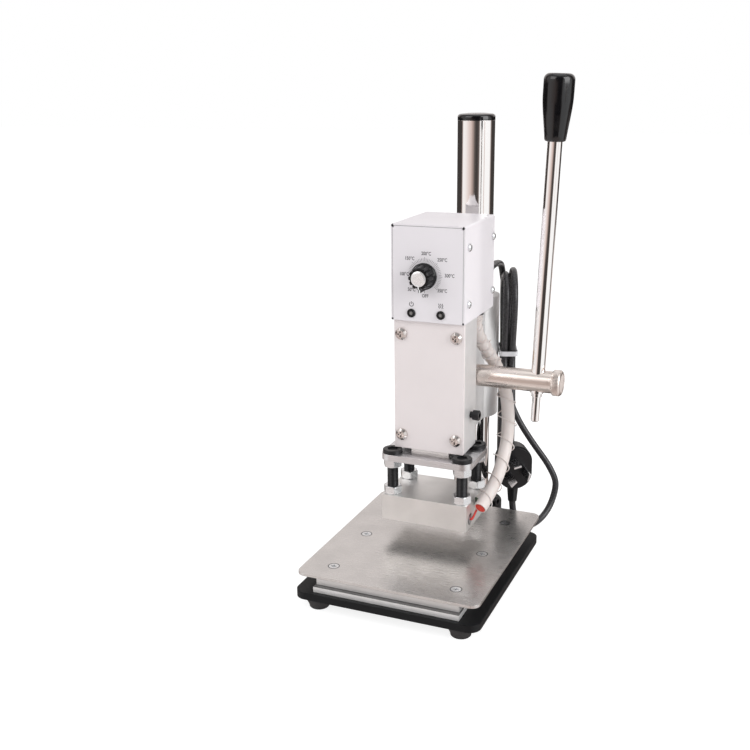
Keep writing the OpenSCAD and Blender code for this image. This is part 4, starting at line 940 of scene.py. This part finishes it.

# %% [markdown]
# ## Print on the panel
# The dial has plain numbers, OFF at the bottom and a ring of fine marks. Small signs for power and heat
# stand over the lamps. The panel's corners have notches where the sheet was folded; ink paints their shade.

# %% Panel print
NUMBERS = {
    "200°C": (1.2, 16.6), "250°C": (13.7, 12.6), "300°C": (19.4, 1.2), "350°C": (13.8, -10.3),
    "OFF": (0.4, -15), "50°C": (-10.4, -10.9), "100°C": (-16.2, 0.5), "150°C": (-11.9, 12.4),
}
NUMBER_SIZE = 3.6
TICKS, TICK_SPAN, MAJOR_EVERY = 48, 270, 8
TICK_IN, TICK_OUT, MAJOR_OUT, OFF_OUT, TICK_W, MAJOR_W = 10.9, 13.2, 14, 13, 0.2, 0.24
SIGN_Z, POWER_X, POWER_R, POWER_GAP, POWER_W, POWER_BAR = -21.9, -10.55, 1.6, 0.6, 0.5, (0.1, 2.1)
HEAT_X, HEAT_STEP, HEAT_SWAY, HEAT_WAVES, HEAT_W, HEAT_ENDS = 12.75, 1.4, 0.35, 3.4, 0.45, (-1.7, 1.9)
NOTCH_X, NOTCH_Z, NOTCH = 27.7, 247.7, ((0, 1.5), (-1.1, 0), (0, -1.5), (1.1, 0))
GAP_X, GAP_Z, GAP = 28, 177.3, ((-0.7, 0.8), (-0.7, -0.7), (0.7, -0.7), (0.7, 0.8))

for words, centre in NUMBERS.items():
    letters(words, centre, NUMBER_SIZE)
for i in range(TICKS + 1):
    a = math.radians(TICK_SPAN * (i / TICKS - 0.5))
    major = i % MAJOR_EVERY == 0
    ends = (TICK_IN, MAJOR_OUT if major else TICK_OUT)
    stroke([(r * math.sin(a), r * math.cos(a)) for r in ends], MAJOR_W if major else TICK_W)
stroke([(0, -TICK_IN), (0, -OFF_OUT)], MAJOR_W)
power_ring = np.linspace(POWER_GAP, 2 * math.pi - POWER_GAP, 25)
stroke([(POWER_X + POWER_R * math.sin(a), SIGN_Z + POWER_R * math.cos(a)) for a in power_ring], POWER_W)
stroke([(POWER_X, SIGN_Z + z) for z in POWER_BAR], POWER_W)
heat_line = np.linspace(*HEAT_ENDS, 19)
for x in (HEAT_X - HEAT_STEP, HEAT_X, HEAT_X + HEAT_STEP):
    stroke([(x + HEAT_SWAY * math.sin(z * HEAT_WAVES), SIGN_Z + z) for z in heat_line], HEAT_W)
# Painted shade in the notches at the panel's corners.
for side in (-1, 1):
    ink(panel_place(side * NOTCH_X, NOTCH_Z) + np.array(NOTCH), [(0, 1, 2, 3)])
    ink(panel_place(side * GAP_X, GAP_Z) + np.array(GAP), [(0, 1, 2, 3)])
put("panel_print", ink_verts, ink_faces, "head", "black_matt", "ink")
print(len(ink_faces), "faces of ink")

# %% [markdown]
# ## Seam round the panel
# The folded chassis and the cover of the box meet in a fine line at both sides of the panel and along its
# top. A narrow grey stroke stands for its shade.

# %% Seam round the panel
SEAM_X, SEAM_LOW, SEAM_HIGH, SEAM_W, SEAM_TOP_W = 27.72, 178.4, 247.7, 0.32, 0.4
ink_verts, ink_faces = [], []
for x in (-SEAM_X, SEAM_X):
    stroke([panel_place(x, z) for z in (SEAM_LOW, SEAM_HIGH)], SEAM_W)
stroke([panel_place(x, SEAM_HIGH) for x in (-SEAM_X, SEAM_X)], SEAM_TOP_W)
put("panel_seam", ink_verts, ink_faces, "head", "black_matt", "seam")
print(len(ink_faces), "strokes of seam")

# %% [markdown]
# ## Mark on the knob
# A white line runs from the cap's rim over the knob's edge and along its pointer. It is a strip that
# follows the knob's outline: how far from the axis, and how far out from the panel.

# %% Mark on the knob
MARK_LINE = ((5.8, 13.23), (7.32, 13.23), (8.13, 12.42), (8.3, 10.74), (10.75, 10.74))
MARK_HALF = 0.5
mark_verts = [DIAL + (x, -out, -r) for r, out in MARK_LINE for x in (-MARK_HALF, MARK_HALF)]
mark_faces = [(2 * i + 1, 2 * i, 2 * i + 2, 2 * i + 3) for i in range(len(MARK_LINE) - 1)]
put("knob_mark", mark_verts, mark_faces, "knob", "black_matt", "mark", crisp=30)
print(len(mark_faces), "faces of the mark")

# %% [markdown]
# ## Nuts
# A real nut has its corners turned off at both ends, which leaves curved edges on its six flats: the
# radius at each height is the smaller of the hexagon and a cone. The rings close at the bolt.

# %% Nuts
BLOCK_Y, BOLT_X, BOLT_Y, BOLT_R = 21.4, 28.7, 17.5, 4.0
BOLTS = [(x, BLOCK_Y + y) for x in (-BOLT_X, BOLT_X) for y in (-BOLT_Y, BOLT_Y)]
NUT_LOWS, NUT_H, NUT_FLATS, NUT_SIDES, NUT_PLAY = (36.2, 58.5), 6.5, 13.0, 72, 0.01
NUT_END, NUT_STEP, CONE_SHARE = 0.8, 0.15, 0.96
hexagon = NUT_FLATS / 2 / np.cos(turns(NUT_SIDES) % (np.pi / 3) - np.pi / 6)
end_steps = np.arange(0, NUT_END, NUT_STEP)
nut_profile = [(BOLT_R + NUT_PLAY, 0)]
for h in (*end_steps, *(NUT_H - end_steps[::-1])):
    cone = CONE_SHARE * NUT_FLATS / 2 + min(h, NUT_H - h) * math.sqrt(3)
    nut_profile.append((np.minimum(hexagon, cone), h))
nut_profile.append((BOLT_R + NUT_PLAY, NUT_H))

nut_places = [(x, y, low) for x, y in BOLTS for low in NUT_LOWS]
nut_shapes = lathed_at(nut_places, nut_profile, NUT_SIDES, loop=True)
nuts = put("hex_nuts", *nut_shapes, "ram", "zinc_steel", crisp=24)
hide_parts("bolt_nuts")
print(len(nut_places), "nuts")

# %% [markdown]
# ## Threads of the bolts
# Between the nuts the bolts show their thread. It is a skin round the plain bolt, whose radius rises and
# falls once a pitch and is shifted evenly round the bolt, so that the ridge climbs.

# %% Bolt threads
PITCH, TURN_SIDES, TURN_STEPS, RIDGE_FOOT, RIDGE_H = 1.25, 24, 8, 0.04, 0.4
heights = np.arange(NUT_LOWS[0] + NUT_H, NUT_LOWS[1] + 1e-6, PITCH / TURN_STEPS)
rising = (heights[:, None] / PITCH - turns(TURN_SIDES)[None] / (2 * np.pi)) % 1
ridge = BOLT_R + RIDGE_FOOT + RIDGE_H * (1 - np.abs(2 * rising - 1))
thread_profile = list(zip(ridge, heights))
thread_shapes = lathed_at([(x, y, 0) for x, y in BOLTS], thread_profile, TURN_SIDES, caps=False)
put("bolt_threads", *thread_shapes, "ram", "black_oxide")
print(len(thread_profile), "rings a thread")

# %% [markdown]
# ## Grip and column cap
# Both are an outline carried round an axis. The grip widens upwards and its top is well rounded. The cap
# has a rounded rim, a slight dome and the plug that holds it in the column.

# %% Grip and cap
TURNED_SIDES, TURNED_CRISP = 64, 50
LEVER_FOOT, LEVER_LEAN = (74.3, 47, 127), math.radians(2.2)
GRIP_LOW, GRIP_TOP, GRIP_R, GRIP_EDGE = 180, 227, 11, 4.2
GRIP_FOOT_R, GRIP_MOUTH_R, GRIP_MOUTH_H = 7.5, 6.4, 0.5
GRIP_RINGS, GRIP_FIRST, WIDENED_AT_FOOT, WIDENS_BY = 14, 0.04, 0.15, 1.1
CAP_LOW, CAP_TOP, CAP_R, CAP_EDGE, CAP_DOME = 318.4, 323.2, 15.1, 2.4, ((8, 0.5), (2, 0.7))
CAP_PLUG, CAP_PLUG_R = 10, 11.95


def turned(name, profile, foot, way, body, slot, sides=TURNED_SIDES, crisp=TURNED_CRISP):
    rings = lathe(profile, sides, foot, way)
    return put(name, rings, ring_faces(len(profile), sides), body, slot, crisp=crisp)


lever_way = (math.sin(LEVER_LEAN), 0, math.cos(LEVER_LEAN))
grip_profile = [(GRIP_MOUTH_R, GRIP_LOW), (GRIP_FOOT_R, GRIP_LOW + GRIP_MOUTH_H)]
for k in np.linspace(GRIP_FIRST, 1, GRIP_RINGS):
    widened = smooth(WIDENED_AT_FOOT + WIDENS_BY * k)
    grip_profile.append((mix(GRIP_FOOT_R, GRIP_R, widened), mix(GRIP_LOW, GRIP_TOP - GRIP_EDGE, k)))
grip_profile += corner(GRIP_R, GRIP_TOP, GRIP_EDGE, 9)[1:]
grip = turned("rounded_grip", grip_profile, LEVER_FOOT, lever_way, "lever", "black_gloss")
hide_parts("lever_grip")

cap_profile = [(CAP_PLUG_R, CAP_LOW - CAP_PLUG), (CAP_PLUG_R, CAP_LOW), (CAP_R, CAP_LOW)]
cap_profile += corner(CAP_R, CAP_TOP, CAP_EDGE)
cap_profile += [(r, CAP_TOP + h) for r, h in CAP_DOME]
cap = turned("domed_cap", cap_profile, (COLUMN[0], COLUMN[1], 0), (0, 0, 1), "base", "black_gloss")
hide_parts("column_cap")
print("grip of", len(grip_profile), "rings, cap of", len(cap_profile))

# %% [markdown]
# ## Lock screw
# The screw in the end of the lever's shaft has a collar in line with the shaft and a knurled head. A knurl
# could be a bump in the metal, but its outline shows against the light, so the head's radius goes up and
# down round the rim, four points to a ridge.

# %% Knurled lock screw
SCREW_AT, SCREW_R, SCREW_L, SHANK_R, SHANK_L = (84, 47, 127), 10, 9.4, 4, 3.75
COLLAR_R, COLLAR_L, RIDGES, RIDGE_POINTS, KNURL = 8.45, 2.2, 60, 4, 0.32
KNURL_ABOVE_COLLAR, KNURL_BELOW_FACE = 1, 1.6
RIM_ABOVE_COLLAR = ((8.9, 0), (9.4, 0.4))
RIM_BELOW_FACE = ((9.3, 0.7), (8.6, 0.15), (7.6, 0), (7.2, 0.3), (1, 0.3))
screw_sides = RIDGES * RIDGE_POINTS
knurled = SCREW_R - KNURL * (0.5 - 0.5 * np.cos(np.arange(screw_sides) * 2 * np.pi / RIDGE_POINTS))
screw_profile = [(SHANK_R, -SHANK_L), (SHANK_R, 0), (COLLAR_R, 0), (COLLAR_R, COLLAR_L)]
screw_profile += [(r, COLLAR_L + h) for r, h in RIM_ABOVE_COLLAR]
screw_profile += [(knurled, COLLAR_L + KNURL_ABOVE_COLLAR), (knurled, SCREW_L - KNURL_BELOW_FACE)]
screw_profile += [(r, SCREW_L - depth) for r, depth in RIM_BELOW_FACE]
lock_screw = turned("knurled_screw", screw_profile, SCREW_AT, (1, 0, 0), "lever", "nickel_plate",
                    sides=screw_sides, crisp=32)
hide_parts("lever_lock_screw")
print("screw with", RIDGES, "ridges")

# %% [markdown]
# ## Dial knob
# The knob has a plain flange at the panel and a slightly tapered body with twelve flutes, deeper towards
# its front. A nib at the foot of the white mark points at the numbers.

# %% Fluted knob
FLUTES, KNOB_GAP, KNOB_L, KNOB_SIDES = 12, 0.8, 12.4, 144
KNOB_FLANGE = ((3.2, 0), (9.6, 0), (10, 0.5), (10, 2), (9.4, 2.6), (9.2, 3.2))
BODY_LOW, BODY_FIRST, BODY_R, BODY_TAPER, BODY_EDGE = 3.2, 3.6, 9.3, 1.2, 0.8
FLUTE_BACK, FLUTE_FRONT, FLUTE_RUN_IN = 0.7, 1.4, 1.5
FACE_R, FACE_FLUTE, FACE_IN = 7.3, 0.9, 3
NIB = ((-1, 6.5), (-1, 10.3), (-0.5, 10.8), (0.5, 10.8), (1, 10.3), (1, 6.5))
NIB_ENDS = (0.5, KNOB_L - 2.5)

hollow = np.maximum(np.cos(FLUTES * (turns(KNOB_SIDES) + np.pi / FLUTES)), 0) ** 2
body_l = KNOB_L - BODY_EDGE
knob_profile = list(KNOB_FLANGE)
for h in np.linspace(BODY_FIRST, body_l, 8):
    depth = min(1.0, (h - BODY_LOW) / FLUTE_RUN_IN) * mix(FLUTE_BACK, FLUTE_FRONT, h / KNOB_L)
    knob_profile.append((BODY_R - BODY_TAPER * h / body_l - depth * hollow, h))
knob_profile += [(FACE_R - FACE_FLUTE * hollow, KNOB_L), (FACE_IN, KNOB_L)]
knob_verts = list(lathe(knob_profile, KNOB_SIDES, DIAL - (0, KNOB_GAP, 0), (0, -1, 0)))
knob_faces = ring_faces(len(knob_profile), KNOB_SIDES)
knob_faces += ring_faces(2, len(NIB), start=len(knob_verts))
knob_verts += [DIAL + (x, -KNOB_GAP - out, -r) for out in NIB_ENDS for x, r in NIB]
fluted_knob = put("fluted_knob", knob_verts, knob_faces, "knob", "black_matt", "knob_black", crisp=35)
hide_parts("dial_knob")
print("knob with", FLUTES, "flutes")

# %% [markdown]
# ## Seats of the table screws
# A countersunk screw never fills its seat quite, which leaves a narrow gap round its head that lies in
# shade. A flat black ring just above the plate is painted shade for that gap.

# %% Screw seats
TABLE_Y, TABLE_SCREW_X, TABLE_SCREW_Y = -4.5, 48.5, 61
TABLE_SCREWS = [(x, TABLE_Y + y, 0) for x in (-TABLE_SCREW_X, TABLE_SCREW_X)
                for y in (-TABLE_SCREW_Y, 0, TABLE_SCREW_Y)]
SEAT_R, SEAT_INNER_R, SEAT_LIFT, SEAT_SIDES = 4.5, 3.9, 0.02, 32
seat_profile = [(SEAT_R, SEAT_LIFT), (SEAT_INNER_R, SEAT_LIFT)]
seat_shapes = lathed_at(TABLE_SCREWS, seat_profile, SEAT_SIDES, caps=False)
# Painted shade: a black ring in the gap round each screw head.
put("screw_gap_shade", *seat_shapes, "table", "zinc_steel", "black_oxide")
print(len(TABLE_SCREWS), "seats")

# %% [markdown]
# ## Return spring
# The spring sits out of sight in the ram's bore, hooked to the head above and to the ram below. It is a
# helix with a straight end at each side, and stretches as the ram goes down.

# %% Return spring
SPRING_Y, SPRING_LOW, SPRING_HIGH = 22.35, 122.0, 172.5
SPRING_R, SPRING_WIRE, SPRING_LOOPS, SPRING_SIDES, STEPS_A_LOOP = 3.9, 1.2, 10, 10, 36
steps = np.linspace(0, 1, SPRING_LOOPS * STEPS_A_LOOP + 1)
turn = steps * SPRING_LOOPS * 2 * np.pi
coil_z = mix(SPRING_LOW + 2 * SPRING_WIRE, SPRING_HIGH - 2 * SPRING_WIRE, steps)
coil = np.column_stack((SPRING_R * np.cos(turn), SPRING_Y + SPRING_R * np.sin(turn), coil_z))
foot_end = [(SPRING_R, SPRING_Y, z) for z in (SPRING_LOW, SPRING_LOW + SPRING_WIRE)]
head_end = [(SPRING_R, SPRING_Y, z) for z in (SPRING_HIGH - SPRING_WIRE, SPRING_HIGH)]
spring_path = np.vstack((foot_end, coil, head_end))
spring_rings = rings_round(spring_path, SPRING_WIRE / 2, SPRING_SIDES)
spring_faces = ring_faces(len(spring_path), SPRING_SIDES)
spring = put("return_coil", spring_rings, spring_faces, None, "spring_steel")
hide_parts("return_spring")
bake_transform(spring)
print("spring of", SPRING_LOOPS, "loops")
